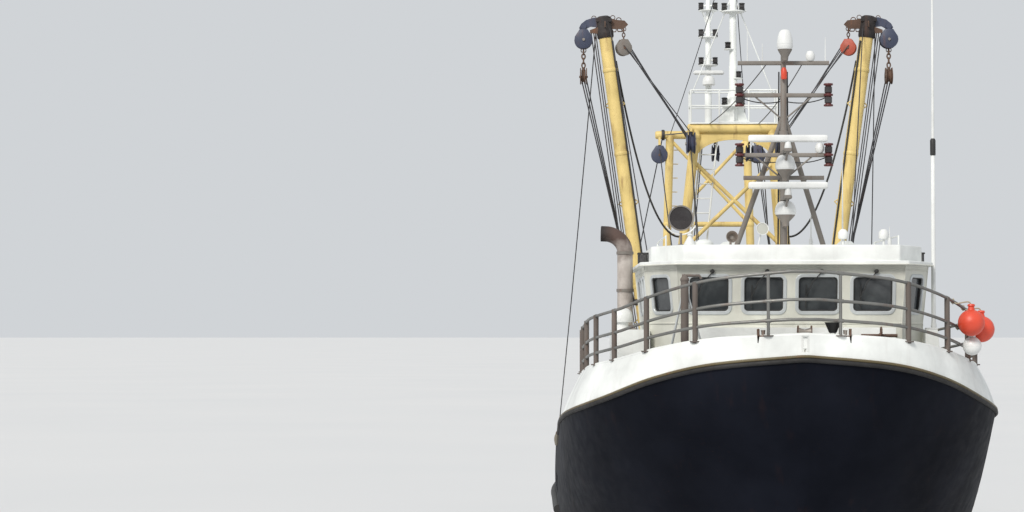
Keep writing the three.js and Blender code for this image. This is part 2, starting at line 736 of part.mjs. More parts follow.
// A point on the rail at a share of its height, which falls off over the first three stations.
function railPoint(u, share, side, below = 0) {
  const station = stationAt(u);
  const up = share * (RAIL.low + (RAIL.high - RAIL.low) * Math.max(0, 1 - u / 3)) - below;
  const x = station.topX - station.bandIn - BAND / 2;
  const y = at(aftAt(station, station.bandZ)) + RAIL.inside * Math.max(0, 1 - u);
  return [side * Math.max(x, 0), y, station.bandZ + up];
}

const RAIL_STEPS = [
  0.22, 0.45, 0.8, 1.1, 1.35, 1.8, 2.35, 2.75, 3.17, 3.5, 3.8, 4.2, 4.6, 5.05, 5.5, 5.95, RAIL.last,
];

function railPipe(share, radius) {
  const port = RAIL_STEPS.map((u) => railPoint(u, share, 1));
  const starboard = RAIL_STEPS.map((u) => railPoint(u, share, -1)).reverse();
  return pipe([...starboard, ...port], radius);
}

function bowRail() {
  const made = RAIL.levels.map((share) => railPipe(share, RAIL.radius));
  [1, -1].forEach((side) => {
    RAIL_POSTS.forEach((u) => {
      const radius = u > 1 ? RAIL.post : RAIL.radius;
      made.push(rod(railPoint(u, 0, side, 60), railPoint(u, 1, side), radius, radius, 4));
    });
  });
  return standing(join([...made, fairlead(-1), fairlead(1)]));
}

// The rail is made in four lengths that meet at the stem and at one joint a side.
const RAIL_JOINT = railPoint(2, 0, 1)[1];

function railLength(rail, side, fore) {
  const [x0, x1] = side > 0 ? [GAP / 2, 2 * HALF_BEAM] : [-2 * HALF_BEAM, -GAP / 2];
  const [y0, y1] = fore ? [-LENGTH, RAIL_JOINT - GAP / 2] : [RAIL_JOINT + GAP / 2, 0];
  return rail.intersect(box(x0, x1, y0, y1, 0, 2 * WHALEBACK_Z));
}

// Fittings on the whaleback.
function fairlead(side) {
  const [x, y, z] = railPoint(0.5, 0, side);
  const cheeks = [-1, 1].map((k) => box(x + k * 75 - 18, x + k * 75 + 18, y - 15, y + 70, z - 100, z + 120));
  const sill = box(x - 93, x + 93, y - 15, y + 70, z - 100, z + 20);
  const roller = rod([x, y + 27, z + 10], [x, y + 27, z + 100], 34, 34, 8);
  return join([...cheeks, sill, roller]);
}

function stemRoller() {
  const [, y, z] = railPoint(0.2, 0, 1);
  const cheek = (x) =>
    sidePlate(
      [
        [y - 30, z - 150],
        [y + 260, z - 150],
        [y + 60, z + 150],
        [y - 10, z + 150],
      ],
      x,
      x + 20,
    );
  const roller = rod([-95, y + 25, z + 60], [95, y + 25, z + 60], 50, 50, 10);
  const sill = box(-110, 110, y - 20, y + 240, z - 200, z - 20);
  return join([cheek(-110), cheek(90), roller, sill]).subtract(forecastleSolid.translate(0, 0, GAP));
}

function bowPost() {
  const x = -1680;
  const y = at(2000);
  const post = rod([x, y, 4080], [x, y, 5880], 62, 62, 8);
  const stays = [
    [x - 330, y + 350],
    [x + 470, y + 250],
  ].map(([sx, sy]) => rod([x, y, 5800], [sx, sy, 4050], 18, 18, 6));
  const hook = rod([x, y, 5870], [x, y, 5960], 40, 25, 8);
  const arm = rod([x - 20, y, 5930], [x + 230, y, 5930], 22, 22, 6);
  return standing(join([post, ...stays, hook, arm]));
}

const WINDLASS = { s: 1950, z: 4680, shaft: 60, clear: 4 };

function windlassFrame() {
  const y = at(WINDLASS.s);
  const bed = box(-560, 560, y - 300, y + 420, WHALEBACK_Z - 100, 4420);
  const cheeks = [-430, 430].map((x) =>
    sidePlate(
      [
        [y - 230, 4400],
        [y + 260, 4400],
        [y + 110, WINDLASS.z + 120],
        [y - 110, WINDLASS.z + 120],
      ],
      x - 30,
      x + 30,
    ),
  );
  const motor = rod([-250, y + 330, 4520], [250, y + 330, 4520], 120, 120, 12);
  const hole = WINDLASS.shaft + WINDLASS.clear;
  const bore = rod([-600, y, WINDLASS.z], [600, y, WINDLASS.z], hole, hole, 12);
  return standing(join([bed, ...cheeks, motor])).subtract(bore);
}

function windlassDrum() {
  const y = at(WINDLASS.s);
  const along = (x0, x1, r0, r1 = r0) => rod([x0, y, WINDLASS.z], [x1, y, WINDLASS.z], r0, r1, 12);
  return join([
    along(-820, 820, WINDLASS.shaft),
    along(-399.5, 399.5, 90),
    along(-120, -80, 190),
    along(80, 120, 190),
    along(-81, 81, 130),
    along(470, 800, 110, 130),
    along(-800, -470, 130, 110),
    along(780, 815, 170),
    along(-815, -780, 170),
  ]);
}

function anchor() {
  const x = 1330;
  const shank = rod([x, at(2700), 4330], [x, at(1600), 5010], 40, 32, 8);
  const stock = rod([x - 300, at(1640), 4990], [x + 260, at(1640), 4990], 26, 26, 8);
  const arms = rod([x - 330, at(2560), 4400], [x + 330, at(2560), 4400], 34, 34, 8);
  const fluke = [
    [at(2620), WHALEBACK_Z - 60],
    [at(2560), 4560],
    [at(2250), 4500],
  ];
  const flukes = [x - 300, x + 300].map((middle) => sidePlate(fluke, middle - 25, middle + 25));
  const ring = solid(
    new THREE.TorusGeometry(70, 14, 6, 12).rotateY(Math.PI / 2).translate(x, at(1560), 5050),
  );
  return standing(join([shank, stock, arms, ...flukes, ring]));
}

function bollards(x, s, z, seat) {
  const y = at(s);
  const bed = box(x - 130, x + 130, y - 330, y + 330, z - 180, z + 40);
  const heads = [-190, 190].map((along) =>
    join([
      rod([x, y + along, z], [x, y + along, z + 330], 80, 80, 10),
      rod([x, y + along, z + 300], [x, y + along, z + 335], 105, 105, 10),
    ]),
  );
  return seat(join([bed, ...heads]));
}

part("whaleback", whaleback().add(stemRoller()), WHITE);
const bowRailSolid = bowRail();
part("bow_rail_fore_port", railLength(bowRailSolid, 1, true), STEEL);
part("bow_rail_fore_starboard", railLength(bowRailSolid, -1, true), STEEL);
part("bow_rail_aft_port", railLength(bowRailSolid, 1, false), STEEL);
part("bow_rail_aft_starboard", railLength(bowRailSolid, -1, false), STEEL);
part("bow_post", bowPost(), RUST);
part("windlass_frame", windlassFrame(), RUST);
part("windlass_drum", windlassDrum(), RUST);
part("anchor", anchor(), RUST);
part("bollards_fore_port", bollards(2300, 2900, WHALEBACK_Z + 60, standing), RUST);
part("bollards_fore_starboard", bollards(-2300, 2900, WHALEBACK_Z + 60, standing), RUST);
part("bollards_aft_port", bollards(3050, 21300, 1640, onDeck), RUST);
part("bollards_aft_starboard", bollards(-3050, 21300, 1640, onDeck), RUST);

// Round fenders that hang outboard of the port rail by a ring.
const BALLS = [
  { name: "fender_orange_fore", u: 2.55, share: 1, drop: 330, radius: 205, look: ORANGE },
  { name: "fender_orange_aft", u: 2.95, share: 1, drop: 330, radius: 205, look: ORANGE },
  { name: "fender_white", u: 2.72, share: 0.56, drop: 290, radius: 145, look: WHITE },
];
const RING = { radius: 64, wire: 14, drop: 32 };

BALLS.forEach(({ name, u, share, drop, radius, look }) => {
  const [x, y, z] = railPoint(u, share, 1);
  const top = z - RING.drop;
  const ring = solid(
    new THREE.TorusGeometry(RING.radius, RING.wire, 5, 10).rotateX(Math.PI / 2).translate(x, y, top),
  );
  const centre = [x + radius + 70, y, z - drop];
  const neck = rod([x + 66, y, top], [centre[0], y, centre[2] + radius * 0.6], 20, 40, 6);
  const made = join([ring, neck, ball(...centre, radius, 12)]);
  part(name, made.subtract(railPipe(share, RAIL.radius + 0.4)), look);
});

// The gantry over the fish deck: two raked legs a side, a crossbeam with an arched gusset, and a platform.
const GANTRY = {
  s: 14000,
  top: 9200,
  halfTop: 770,
  halfFoot: 1640,
  foot: 1640,
  tube: 100,
  beam: 950,
  aftTop: 420,
  aftBeam: 80,
  aftFoot: 1850,
  aftHalf: 1500,
  platform: 125,
};
const BLOCK_X = 900; // the blocks hang ahead of the crossbeam's ends
const BLOCK_AHEAD = 360;
const ARCH = { z: 8600, rise: 420, steps: 8 };

function gantryHalf(z) {
  const t = (GANTRY.top - z) / (GANTRY.top - GANTRY.foot);
  return GANTRY.halfTop + (GANTRY.halfFoot - GANTRY.halfTop) * t;
}

// A round member on both sides, from [x, aft, z] to [x, aft, z] on the port side.
function pair(from, to, radius, sides = 6) {
  const spot = (side, [x, aft, z]) => [side * x, at(GANTRY.s) + aft, z];
  return [1, -1].map((side) => rod(spot(side, from), spot(side, to), radius, radius, sides));
}

// The beam between the heads of the after legs.
function afterBeam(grow = 0) {
  const { halfTop, aftTop, aftBeam, top } = GANTRY;
  const y = at(GANTRY.s) + aftTop;
  return rod([-halfTop, y, top], [halfTop, y, top], aftBeam + grow, aftBeam + grow, 8);
}

function archGusset() {
  const y = at(GANTRY.s);
  const half = gantryHalf(ARCH.z);
  const foot = ARCH.z - 40;
  const arch = [];
  for (let k = 0; k <= ARCH.steps; k++) {
    const turn = (Math.PI * k) / ARCH.steps;
    arch.push([-Math.cos(turn) * (half - 40), ARCH.z + Math.sin(turn) * ARCH.rise]);
  }
  const outside = [
    [half, foot],
    [GANTRY.halfTop, GANTRY.top],
    [-GANTRY.halfTop, GANTRY.top],
    [-half, foot],
  ];
  return crossPlate([...outside, ...arch], y - 15, y + 15);
}

function gantry() {
  const y = at(GANTRY.s);
  const { top, halfTop, tube, aftTop, aftHalf, aftFoot } = GANTRY;
  const deep = GANTRY.foot - 80;
  const aftLeg = (z) => aftTop + ((aftFoot - aftTop) * (top - z)) / (top - deep);
  const aftLegX = (z) => halfTop + ((aftHalf - halfTop) * (top - z)) / (top - deep);
  const link = (z) => pair([gantryHalf(z), 0, z], [aftLegX(z), aftLeg(z), z], 50);
  const legs = [
    ...pair([gantryHalf(deep), 0, deep], [halfTop, 0, top], tube, 10),
    ...pair([aftHalf, aftFoot, deep], [halfTop, aftTop, top], 95, 4),
    ...link(4600),
    ...link(6700),
  ];
  const beam = rod([-GANTRY.beam, y, top], [GANTRY.beam, y, top], tube, tube, 10);
  const platform = box(-900, 900, y - 90, y + 500, top + 90, top + GANTRY.platform);
  const brace = pair([gantryHalf(8560), 0, 8560], [-gantryHalf(6720), 0, 6720], 42);
  const tie = rod([-gantryHalf(6700), y, 6700], [gantryHalf(6700), y, 6700], 70, 70, 8);
  const lugs = [-BLOCK_X, BLOCK_X].map((x) => box(x - 25, x + 25, y - 480, y + 80, top - 90, top + 60));
  return onDeck(join([...legs, beam, afterBeam(), platform, ...brace, tie, archGusset(), ...lugs]));
}

function platformRail() {
  const y0 = at(GANTRY.s) - 70;
  const y1 = at(GANTRY.s) + 480;
  const foot = GANTRY.top + GANTRY.platform + GAP;
  const corners = [
    [-880, y0],
    [-300, y0],
    [300, y0],
    [880, y0],
    [880, y1],
    [-880, y1],
  ];
  const posts = corners.map(([x, y]) => rod([x, y, foot], [x, y, foot + 670], 18, 18, 6));
  const rails = [340, 660].flatMap((up) =>
    [
      [0, 3],
      [3, 4],
      [0, 5],
      [4, 5],
    ].map(([a, b]) => rod([...corners[a], foot + up], [...corners[b], foot + up], 16, 16, 6)),
  );
  return join([...posts, ...rails]);
}

function gantryMast() {
  const y = at(GANTRY.s) + 200;
  const foot = GANTRY.top + GANTRY.platform + GAP;
  const pole = rod([0, y, foot], [0, y, 13200], 90, 55, 10);
  const base = box(-320, 320, at(GANTRY.s) - 90, y + 200, foot, foot + 25);
  const fin = [
    [-310, foot + 20],
    [310, foot + 20],
    [30, foot + 820],
    [-30, foot + 820],
  ];
  const across = crossPlate(fin, y - 10, y + 10);
  const along = sidePlate(fin.map(([a, z]) => [y + a * 0.6, z]), -10, 10);
  const lampArms = [9760, 11700].map((z) => rod([-270, y, z], [270, y, z], 22, 22, 6));
  const lamps = [
    [-270, 9760],
    [270, 9760],
    [-270, 11700],
    [270, 11700],
    [120, 10300],
    [-120, 10900],
  ].map(([x, z]) => box(x - 90, x + 90, y - 80, y + 60, z - 60, z + 60));
  return join([base, pole, across, along, ...lampArms, ...lamps]);
}

part("gantry", gantry(), YELLOW);
part("gantry_top", platformRail().add(gantryMast()), WHITE);

// The booms stand in steps ahead of the gantry legs and swing outboard about a fore-and-aft pin.
const BOOM = {
  s: 13400,
  x: 1550,
  z: 3100,
  headX: 2680,
  headZ: 11400,
  radius: 145,
  pin: 50,
  clear: 2,
  heel: 120,
  cheek: 129.6,
};

function boomStep(side) {
  const y = at(BOOM.s);
  const x = side * BOOM.x;
  const post = box(x - 170, x + 170, y - 200, y + 200, 1550, BOOM.z - 330);
  const ears = [-1, 1].map((k) =>
    crossPlate(
      [
        [x - 160, BOOM.z - 340],
        [x + 160, BOOM.z - 340],
        [x + 110, BOOM.z + 90],
        [x - 110, BOOM.z + 90],
      ],
      y + k * 165 - 35,
      y + k * 165 + 35,
    ),
  );
  const pin = rod([x, y - 215, BOOM.z], [x, y + 215, BOOM.z], BOOM.pin, undefined, 12);
  return onDeck(join([post, ...ears, pin]));
}

// A point part of the way up a boom, from its pin.
function upBoom(side, length) {
  const lean = Math.atan2(BOOM.headX - BOOM.x, BOOM.headZ - BOOM.z);
  return [side * (BOOM.x + Math.sin(lean) * length), at(BOOM.s), BOOM.z + Math.cos(lean) * length];
}

const BOOM_LENGTH = Math.hypot(BOOM.headX - BOOM.x, BOOM.headZ - BOOM.z);

function spar(side, grow = 0) {
  const [foot, head] = [BOOM.radius + grow, BOOM.radius * 0.95 + grow];
  return rod(upBoom(side, 90), upBoom(side, BOOM_LENGTH), foot, head, 12);
}

function boom(side) {
  const y = at(BOOM.s);
  const across = (half, radius) =>
    rod([side * BOOM.x, y - half, BOOM.z], [side * BOOM.x, y + half, BOOM.z], radius, radius, 12);
  const heel = across(BOOM.cheek, BOOM.heel);
  const ring = BOOM.radius + 25;
  const collar = rod(upBoom(side, BOOM_LENGTH - 420), upBoom(side, BOOM_LENGTH - 260), ring, ring, 12);
  const [hx, , hz] = upBoom(side, BOOM_LENGTH - 120);
  const lug = box(hx - 490, hx + 490, y - 20, y + 20, hz - 110, hz + 110);
  const bore = across(300, BOOM.pin + BOOM.clear);
  const slots = [1, -1].map((k) =>
    box(
      side * BOOM.x - 200,
      side * BOOM.x + 200,
      y + Math.min(k * BOOM.cheek, k * 400),
      y + Math.max(k * BOOM.cheek, k * 400),
      BOOM.z - 200,
      BOOM.z + 330,
    ),
  );
  return join([spar(side), heel]).subtract(join(slots)).add(collar).add(lug).subtract(bore);
}

// A cargo block: two cheeks with a sheave between them, hung by its top at x, y, z.
function block(x, y, z, size, thick) {
  const cheek = (from, to) =>
    crossPlate(
      [
        [x - size * 0.35, z - size * 0.1],
        [x + size * 0.35, z - size * 0.1],
        [x + size * 0.5, z - size * 0.6],
        [x + size * 0.3, z - size],
        [x - size * 0.3, z - size],
        [x - size * 0.5, z - size * 0.6],
      ],
      from,
      to,
    );
  const middle = z - size * 0.6;
  const sheaveHalf = thick * 0.35;
  const sheave = rod([x, y - sheaveHalf, middle], [x, y + sheaveHalf, middle], size * 0.42, undefined, 10);
  const bow = rod([x, y, z], [x, y, z - size * 0.3], size * 0.12, size * 0.2, 8);
  return join([cheek(y - thick / 2, y - thick * 0.34), cheek(y + thick * 0.34, y + thick / 2), sheave, bow]);
}

// A second block hung on a link under the head's block, and its three falls down to a strap low on the spar.
const FALLS = { out: 410, block: 400, thick: 220, link: 24, drop: 380, hung: 340, strap: 2600, radius: 13 };

function boomFalls(side, headBlock) {
  const y = at(BOOM.s);
  const [hx, , hz] = upBoom(side, BOOM_LENGTH - 120);
  const x = hx + side * FALLS.out;
  const yokeTop = hz - 110 - FALLS.block;
  const linkEnd = yokeTop - FALLS.drop;
  const yoke = box(x - 60, x + 60, y - FALLS.thick / 2, y + FALLS.thick / 2, yokeTop - 60, yokeTop);
  const link = rod([x, y, yokeTop - 30], [x, y, linkEnd - 40], FALLS.link, FALLS.link, 8);
  const hung = block(0, 0, linkEnd, FALLS.hung, 140).rotate(0, 0, 90).translate(x, y, 0);
  const ring = BOOM.radius + 25;
  const strap = rod(upBoom(side, FALLS.strap - 60), upBoom(side, FALLS.strap + 60), ring, ring, 12);
  const [sx, , sz] = upBoom(side, FALLS.strap);
  const falls = [-50, 0, 50].map((shift) =>
    rod(
      [x + shift, y, linkEnd - FALLS.hung * 0.6],
      [sx + side * (BOOM.radius + 12), y + shift, sz],
      FALLS.radius,
      undefined,
      6,
    ),
  );
  return join([yoke, link, hung, strap, ...falls])
    .subtract(spar(side, GAP))
    .subtract(headBlock.translate(0, 0, -GAP));
}

[
  ["port", 1],
  ["starboard", -1],
].forEach(([name, side]) => {
  part(`boom_step_${name}`, boomStep(side), YELLOW);
  part(`boom_${name}`, boom(side), YELLOW);
  const [hx, y, hz] = upBoom(side, BOOM_LENGTH - 120);
  const headBlock = block(hx + side * FALLS.out, y, hz - 110 - GAP, FALLS.block, FALLS.thick);
  part(`boom_block_${name}`, headBlock, BLUE);
  part(`boom_falls_${name}`, boomFalls(side, headBlock), RUST);
  const hung = block(0, 0, GANTRY.top - 90 - GAP, 440, 180).rotate(0, 0, 90);
  part(`gantry_block_${name}`, hung.translate(side * BLOCK_X, at(GANTRY.s) - BLOCK_AHEAD, 0), BLUE);
});

// The trawl winch on the main deck behind the break.
const WINCH = { s: 11200, z: 2620, shaft: 70, clear: 3, flange: 480 };

function winchFrame() {
  const y = at(WINCH.s);
  const bed = box(-1500, 1500, y - 480, y + 620, 1500, 2000);
  const cheek = (x) =>
    sidePlate(
      [
        [y - 420, 1990],
        [y + 420, 1990],
        [y + 150, WINCH.z + 150],
        [y - 150, WINCH.z + 150],
      ],
      x - 35,
      x + 35,
    );
  const gearbox = box(-180, 180, y - 300, y + 560, 1990, WINCH.z + 260);
  const bore = rod([-1600, y, WINCH.z], [1600, y, WINCH.z], WINCH.shaft + WINCH.clear, undefined, 14);
  return onDeck(join([bed, cheek(-1400), cheek(1400), gearbox])).subtract(bore);
}

function winchDrum(side) {
  const y = at(WINCH.s);
  const along = (from, to, radius) =>
    rod([side * from, y, WINCH.z], [side * to, y, WINCH.z], radius, radius, 14);
  return join([
    along(60, 1560, WINCH.shaft),
    along(180.5, 1364.5, 110),
    along(300, 1280, 250),
    along(260, 320, WINCH.flange),
    along(1240, 1300, WINCH.flange),
    along(330, 1230, 400),
    along(1480, 1560, 130),
  ]);
}

part("winch_frame", winchFrame(), GREY);
part("winch_drum_port", winchDrum(1), STEEL);
part("winch_drum_starboard", winchDrum(-1), STEEL);

// The ladder from the fish deck up the break of the whaleback.
function breakLadder() {
  const x0 = 1250;
  const s = 9600 + GAP;
  const rails = [x0, x0 + 500].map((x) => box(x, x + 50, at(s), at(s + 140), 1700, 5100));
  const rungs = [];
  for (let z = 2050; z < 5000; z += 300) {
    rungs.push(rod([x0 + 20, at(s + 90), z], [x0 + 530, at(s + 90), z], 16, 16, 6));
  }
  return onDeck(join([...rails, ...rungs]));
}

// The hatch to the fish hold and its lid.
const HATCH = { s0: 17000, s1: 18400, half: 750, top: 2150, wall: 60 };

function hatchCoaming() {
  const { s0, s1, half, top, wall } = HATCH;
  const outer = box(-half, half, at(s0), at(s1), 1500, top);
  const inner = box(-half + wall, half - wall, at(s0 + wall), at(s1 - wall), 1400, top + 50);
  return onDeck(outer.subtract(inner));
}

function hatchLid() {
  const z = HATCH.top + GAP;
  const { s0, s1, half, wall } = HATCH;
  const plate = box(-half - 40, half + 40, at(s0 - 40), at(s1 + 40), z, z + 60);
  const ribs = [-350, 350].map((x) => box(x - 30, x + 30, at(s0 + wall), at(s1 - wall), z + 59, z + 110));
  const grips = [17350, 18050].map((s) => rod([-180, at(s), z + 90], [180, at(s), z + 90], 18, 18, 6));
  const stubs = [17350, 18050].flatMap((s) =>
    [-170, 170].map((x) => rod([x, at(s), z + 50], [x, at(s), z + 95], 16, 16, 6)),
  );
  return join([plate, ...ribs, ...grips, ...stubs]);
}

part("break_ladder", breakLadder(), GREY);
part("hatch_coaming", hatchCoaming(), GREY);
part("hatch_lid", hatchLid(), GREY);

// The after gantry that carries the net blocks over the stern.
const STERN_GANTRY = { s: 22000, half: 1150, top: 9700, halfTop: 900, beamHalf: 1250, beam: 95 };

function sternBeam(grow = 0) {
  const { beamHalf, beam, top } = STERN_GANTRY;
  const y = at(STERN_GANTRY.s);
  return rod([-beamHalf, y, top], [beamHalf, y, top], beam + grow, beam + grow, 8);
}

function sternGantry() {
  const { half, top, halfTop } = STERN_GANTRY;
  const y = at(STERN_GANTRY.s);
  const legs = [1, -1].flatMap((side) => [
    rod([side * half, y, 1500], [side * halfTop, y, top], 95, 95, 8),
    rod([side * 1300, y + 1500, 1500], [side * (halfTop + 60), y, 6200], 60, 60, 6),
  ]);
  const beam = sternBeam();
  const ties = [7600, 5200].map((z) => rod([-1020, y, z], [1020, y, z], 60, 60, 6));
  const braces = [1, -1].map((side) =>
    rod([-side * 970, y, 7600], [side * 900, y, top - 100], 40, 40, 6),
  );
  const lugs = [-1150, 1150].map((x) => box(x - 25, x + 25, y - 100, y + 100, top - 240, top));
  return onDeck(join([...legs, beam, ...ties, ...braces, ...lugs]));
}

part("stern_gantry", sternGantry(), YELLOW);

// A white pole on the after gantry's beam, with three pairs of lamps over a short scanner bar and its dome.
const STERN_MAST = { top: 12900, lamps: [12750, 12120, 11460], bar: 11150, dome: 10850 };

function sternMast() {
  const y = at(STERN_GANTRY.s);
  const { top } = STERN_GANTRY;
  const saddle = box(-160, 160, y - 120, y + 120, top + 40, top + 130);
  const pole = rod([0, y, top + 110], [0, y, STERN_MAST.top], 85, 55, 10);
  const lamps = STERN_MAST.lamps.flatMap((z) => [
    box(-190, 190, y - 25, y + 25, z - 25, z + 25),
    ...[-165, 165].map((x) => rod([x, y, z - 110], [x, y, z + 80], 65, 65, 8)),
  ]);
  const bar = box(-360, 360, y - 260, y - 150, STERN_MAST.bar - 50, STERN_MAST.bar + 50);
  const bracket = box(-45, 45, y - 200, y, STERN_MAST.bar - 140, STERN_MAST.bar - 40);
  const dome = rod([0, y - 200, STERN_MAST.dome], [0, y - 200, STERN_MAST.bar - 60], 150, 110, 10);
  return join([saddle, pole, ...lamps, bar, bracket, dome]).subtract(sternBeam(GAP));
}

part("stern_mast", sternMast(), WHITE);

// The main stays of one side: from the fore gantry's after beam to an eye round the after gantry's beam,
// and on down to the bulwark at the quarter.
const STAY = { radius: 13, fore: 450, eye: 1065, eyeHalf: 35, footS: 26100 };

function stays(side) {
  const y = at(STERN_GANTRY.s);
  const { top, beam } = STERN_GANTRY;
  const eye = [side * STAY.eye, y, top];
  const ring = rod(
    [side * (STAY.eye - STAY.eyeHalf), y, top],
    [side * (STAY.eye + STAY.eyeHalf), y, top],
    beam + 30,
    beam + 30,
    8,
  );
  const station = stationBeside(STAY.footS);
  const foot = [side * (station.topX - WALL / 2), at(STAY.footS), station.topZ - 20];
  const fore = [side * STAY.fore, at(GANTRY.s) + GANTRY.aftTop, GANTRY.top];
  const backstay = rod(fore, eye, STAY.radius, STAY.radius, 6).subtract(afterBeam(GAP));
  const sternStay = rod(eye, foot, STAY.radius, STAY.radius, 6).subtract(bulwarkSolid.translate(0, 0, GAP));
  return join([ring, backstay, sternStay]).subtract(sternBeam(GAP));
}

part("stays_port", stays(1), STEEL);
part("stays_starboard", stays(-1), STEEL);

// The rudder turns on its stock and a pintle in the heel; the propeller turns ahead of it.
function rudder() {
  const y = at(RUDDER.s);
  const blade = sidePlate(
    [
      [at(RUDDER.fore), RUDDER.top],
      [at(RUDDER.aft - 200), RUDDER.top],
      [at(RUDDER.aft), RUDDER.top - 500],
      [at(RUDDER.aft), RUDDER.bottom],
      [at(RUDDER.fore), RUDDER.bottom],
    ],
    -RUDDER.half,
    RUDDER.half,
  );
  const stock = rod([0, y, RUDDER.top - 50], [0, y, 150], RUDDER.stock, undefined, 12);
  const pintle = rod([0, y, KEEL_Z + 60], [0, y, RUDDER.bottom + 20], RUDDER.pintle, undefined, 12);
  const collar = rod([0, y, KEEL_Z + 160 + GAP], [0, y, RUDDER.bottom + 10], 90, 90, 10);
  return join([blade, stock, pintle, collar]);
}

// Four flat blades, cut from one plate and set at one pitch.
const BLADE = { thick: 36, pitch: 40 };

function propeller() {
  const y = at(SHAFT.s);
  const hub = rod([0, at(22420 + GAP), SHAFT.z], [0, at(22960), SHAFT.z], 150, 90, 14);
  const shaft = rod([0, at(22150), SHAFT.z], [0, at(22440), SHAFT.z], SHAFT.radius, undefined, 12);
  const outline = [
    [-60, -60],
    [60, -60],
    [160, 400],
    [170, 640],
    [80, 860],
    [-60, 880],
    [-170, 680],
    [-170, 400],
  ];
  const blade = crossPlate(outline, -BLADE.thick / 2, BLADE.thick / 2)
    .rotate(0, 0, BLADE.pitch)
    .translate(0, y, SHAFT.z);
  const blades = [0, 90, 180, 270].map((turn) =>
    blade.translate(0, 0, -SHAFT.z).rotate(0, turn, 0).translate(0, 0, SHAFT.z),
  );
  return join([hub, shaft, ...blades]);
}

part("rudder", rudder(), NAVY);
part("propeller", propeller(), BRONZE);

export default ship;
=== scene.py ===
"""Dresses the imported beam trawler: glazing, rails, spars, rigging, deck gear and painted finishes."""

import json
import math
from itertools import product
from types import SimpleNamespace as Sizes

import bmesh
import bpy
import numpy as np
from bpy.props import FloatProperty, FloatVectorProperty, PointerProperty
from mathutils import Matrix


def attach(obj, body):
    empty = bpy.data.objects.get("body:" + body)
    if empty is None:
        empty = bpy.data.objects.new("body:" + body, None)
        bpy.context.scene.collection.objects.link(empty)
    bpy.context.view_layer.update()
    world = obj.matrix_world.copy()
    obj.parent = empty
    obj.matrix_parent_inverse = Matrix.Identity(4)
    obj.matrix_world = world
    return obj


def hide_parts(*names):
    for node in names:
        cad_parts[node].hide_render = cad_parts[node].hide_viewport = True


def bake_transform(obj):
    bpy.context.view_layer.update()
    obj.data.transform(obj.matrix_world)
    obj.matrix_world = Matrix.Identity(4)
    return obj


bl_info = {
    "name": "Beam trawler dressing",
    "version": (1, 0, 0),
    "blender": (4, 5, 0),
    "location": "View3D > Sidebar > Trawler",
    "description": "Adds the glazing, rails, rigging, deck gear and finishes of a beam trawler",
    "category": "Object",
}

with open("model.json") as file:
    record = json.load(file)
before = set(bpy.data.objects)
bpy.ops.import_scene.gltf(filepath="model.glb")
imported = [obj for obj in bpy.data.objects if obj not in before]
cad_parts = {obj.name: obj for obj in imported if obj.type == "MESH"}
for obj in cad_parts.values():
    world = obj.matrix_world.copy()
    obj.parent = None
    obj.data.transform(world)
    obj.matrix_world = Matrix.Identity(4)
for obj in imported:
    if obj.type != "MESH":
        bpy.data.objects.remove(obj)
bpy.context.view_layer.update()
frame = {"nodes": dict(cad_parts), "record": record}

LENGTH = 26.5
MIRROR = np.array([-1.0, 1.0, 1.0])
SIDES = (("port", 1), ("starboard", -1))
X, Y, UP = (1, 0, 0), (0, 1, 0), (0, 0, 1)
PHOTO_WIDTH = 1024
PHOTO_HEIGHT = 512
SMOOTH_ANGLE = math.radians(35)


def aft(s):
    """The y of a place s metres aft of the stem head."""
    return s - LENGTH / 2


# Surfaces. Each is a pair: an array of points and a list of faces.


def unit(vectors):
    """Vectors brought to length one."""
    return vectors / np.linalg.norm(vectors, axis=-1, keepdims=True)


def grid_faces(rows, columns, round_columns):
    """Quads of a rows by columns grid of points, its second direction closed if round_columns."""
    row, column = np.meshgrid(
        np.arange(rows - 1), np.arange(columns if round_columns else columns - 1), indexing="ij"
    )
    following = (column + 1) % columns
    corners = [
        row * columns + column,
        row * columns + following,
        (row + 1) * columns + following,
        (row + 1) * columns + column,
    ]
    return np.stack(corners, axis=-1).reshape(-1, 4).tolist()


def welded(points, faces):
    """Points that fall together made one; faces left with fewer than three corners go."""
    _, first, twin = np.unique(np.round(points, 6) + 0, axis=0, return_index=True, return_inverse=True)
    twin = twin.ravel().tolist()
    kept = []
    for face in faces:
        corners = [twin[corner] for corner in face]
        corners = [corner for corner, before in zip(corners, corners[-1:] + corners[:-1]) if corner != before]
        if len(set(corners)) > 2:
            kept.append(corners)
    return points[first], kept


def surface(points, round_columns=True, ends=True):
    """A skin over a grid of points, row by row; ends closes its first and last row."""
    rows, columns = points.shape[:2]
    faces = grid_faces(rows, columns, round_columns)
    if ends and round_columns:
        faces.append(list(range(columns))[::-1])
        faces.append(list(range((rows - 1) * columns, rows * columns)))
    return welded(points.reshape(-1, 3), faces)


def gather(parts):
    """Several surfaces as one, each one's faces counted on from the points before it."""
    points, faces, first = [], [], 0
    for part_points, part_faces in parts:
        points.append(part_points)
        faces += [[first + corner for corner in face] for face in part_faces]
        first += len(part_points)
    return np.concatenate(points), faces


def frames_along(path):
    """Unit vectors along, across and over a path: over leans to +Z, or to -Y on an upright path.

    If the path runs along that guide, the guide is the way square to the path's own plane.
    """
    along = unit(np.gradient(path, axis=0))
    chord = path[-1] - path[0]
    upright = abs(chord[2]) > 0.8 * np.linalg.norm(chord)
    guide = np.array([0.0, -1.0, 0.0]) if upright else np.array([0.0, 0.0, 1.0])
    if np.abs(along @ guide).max() > 0.98:
        guide = np.linalg.svd(path - path.mean(axis=0))[2][-1]
    across = unit(np.cross(along, guide))
    return along, across, np.cross(across, along)


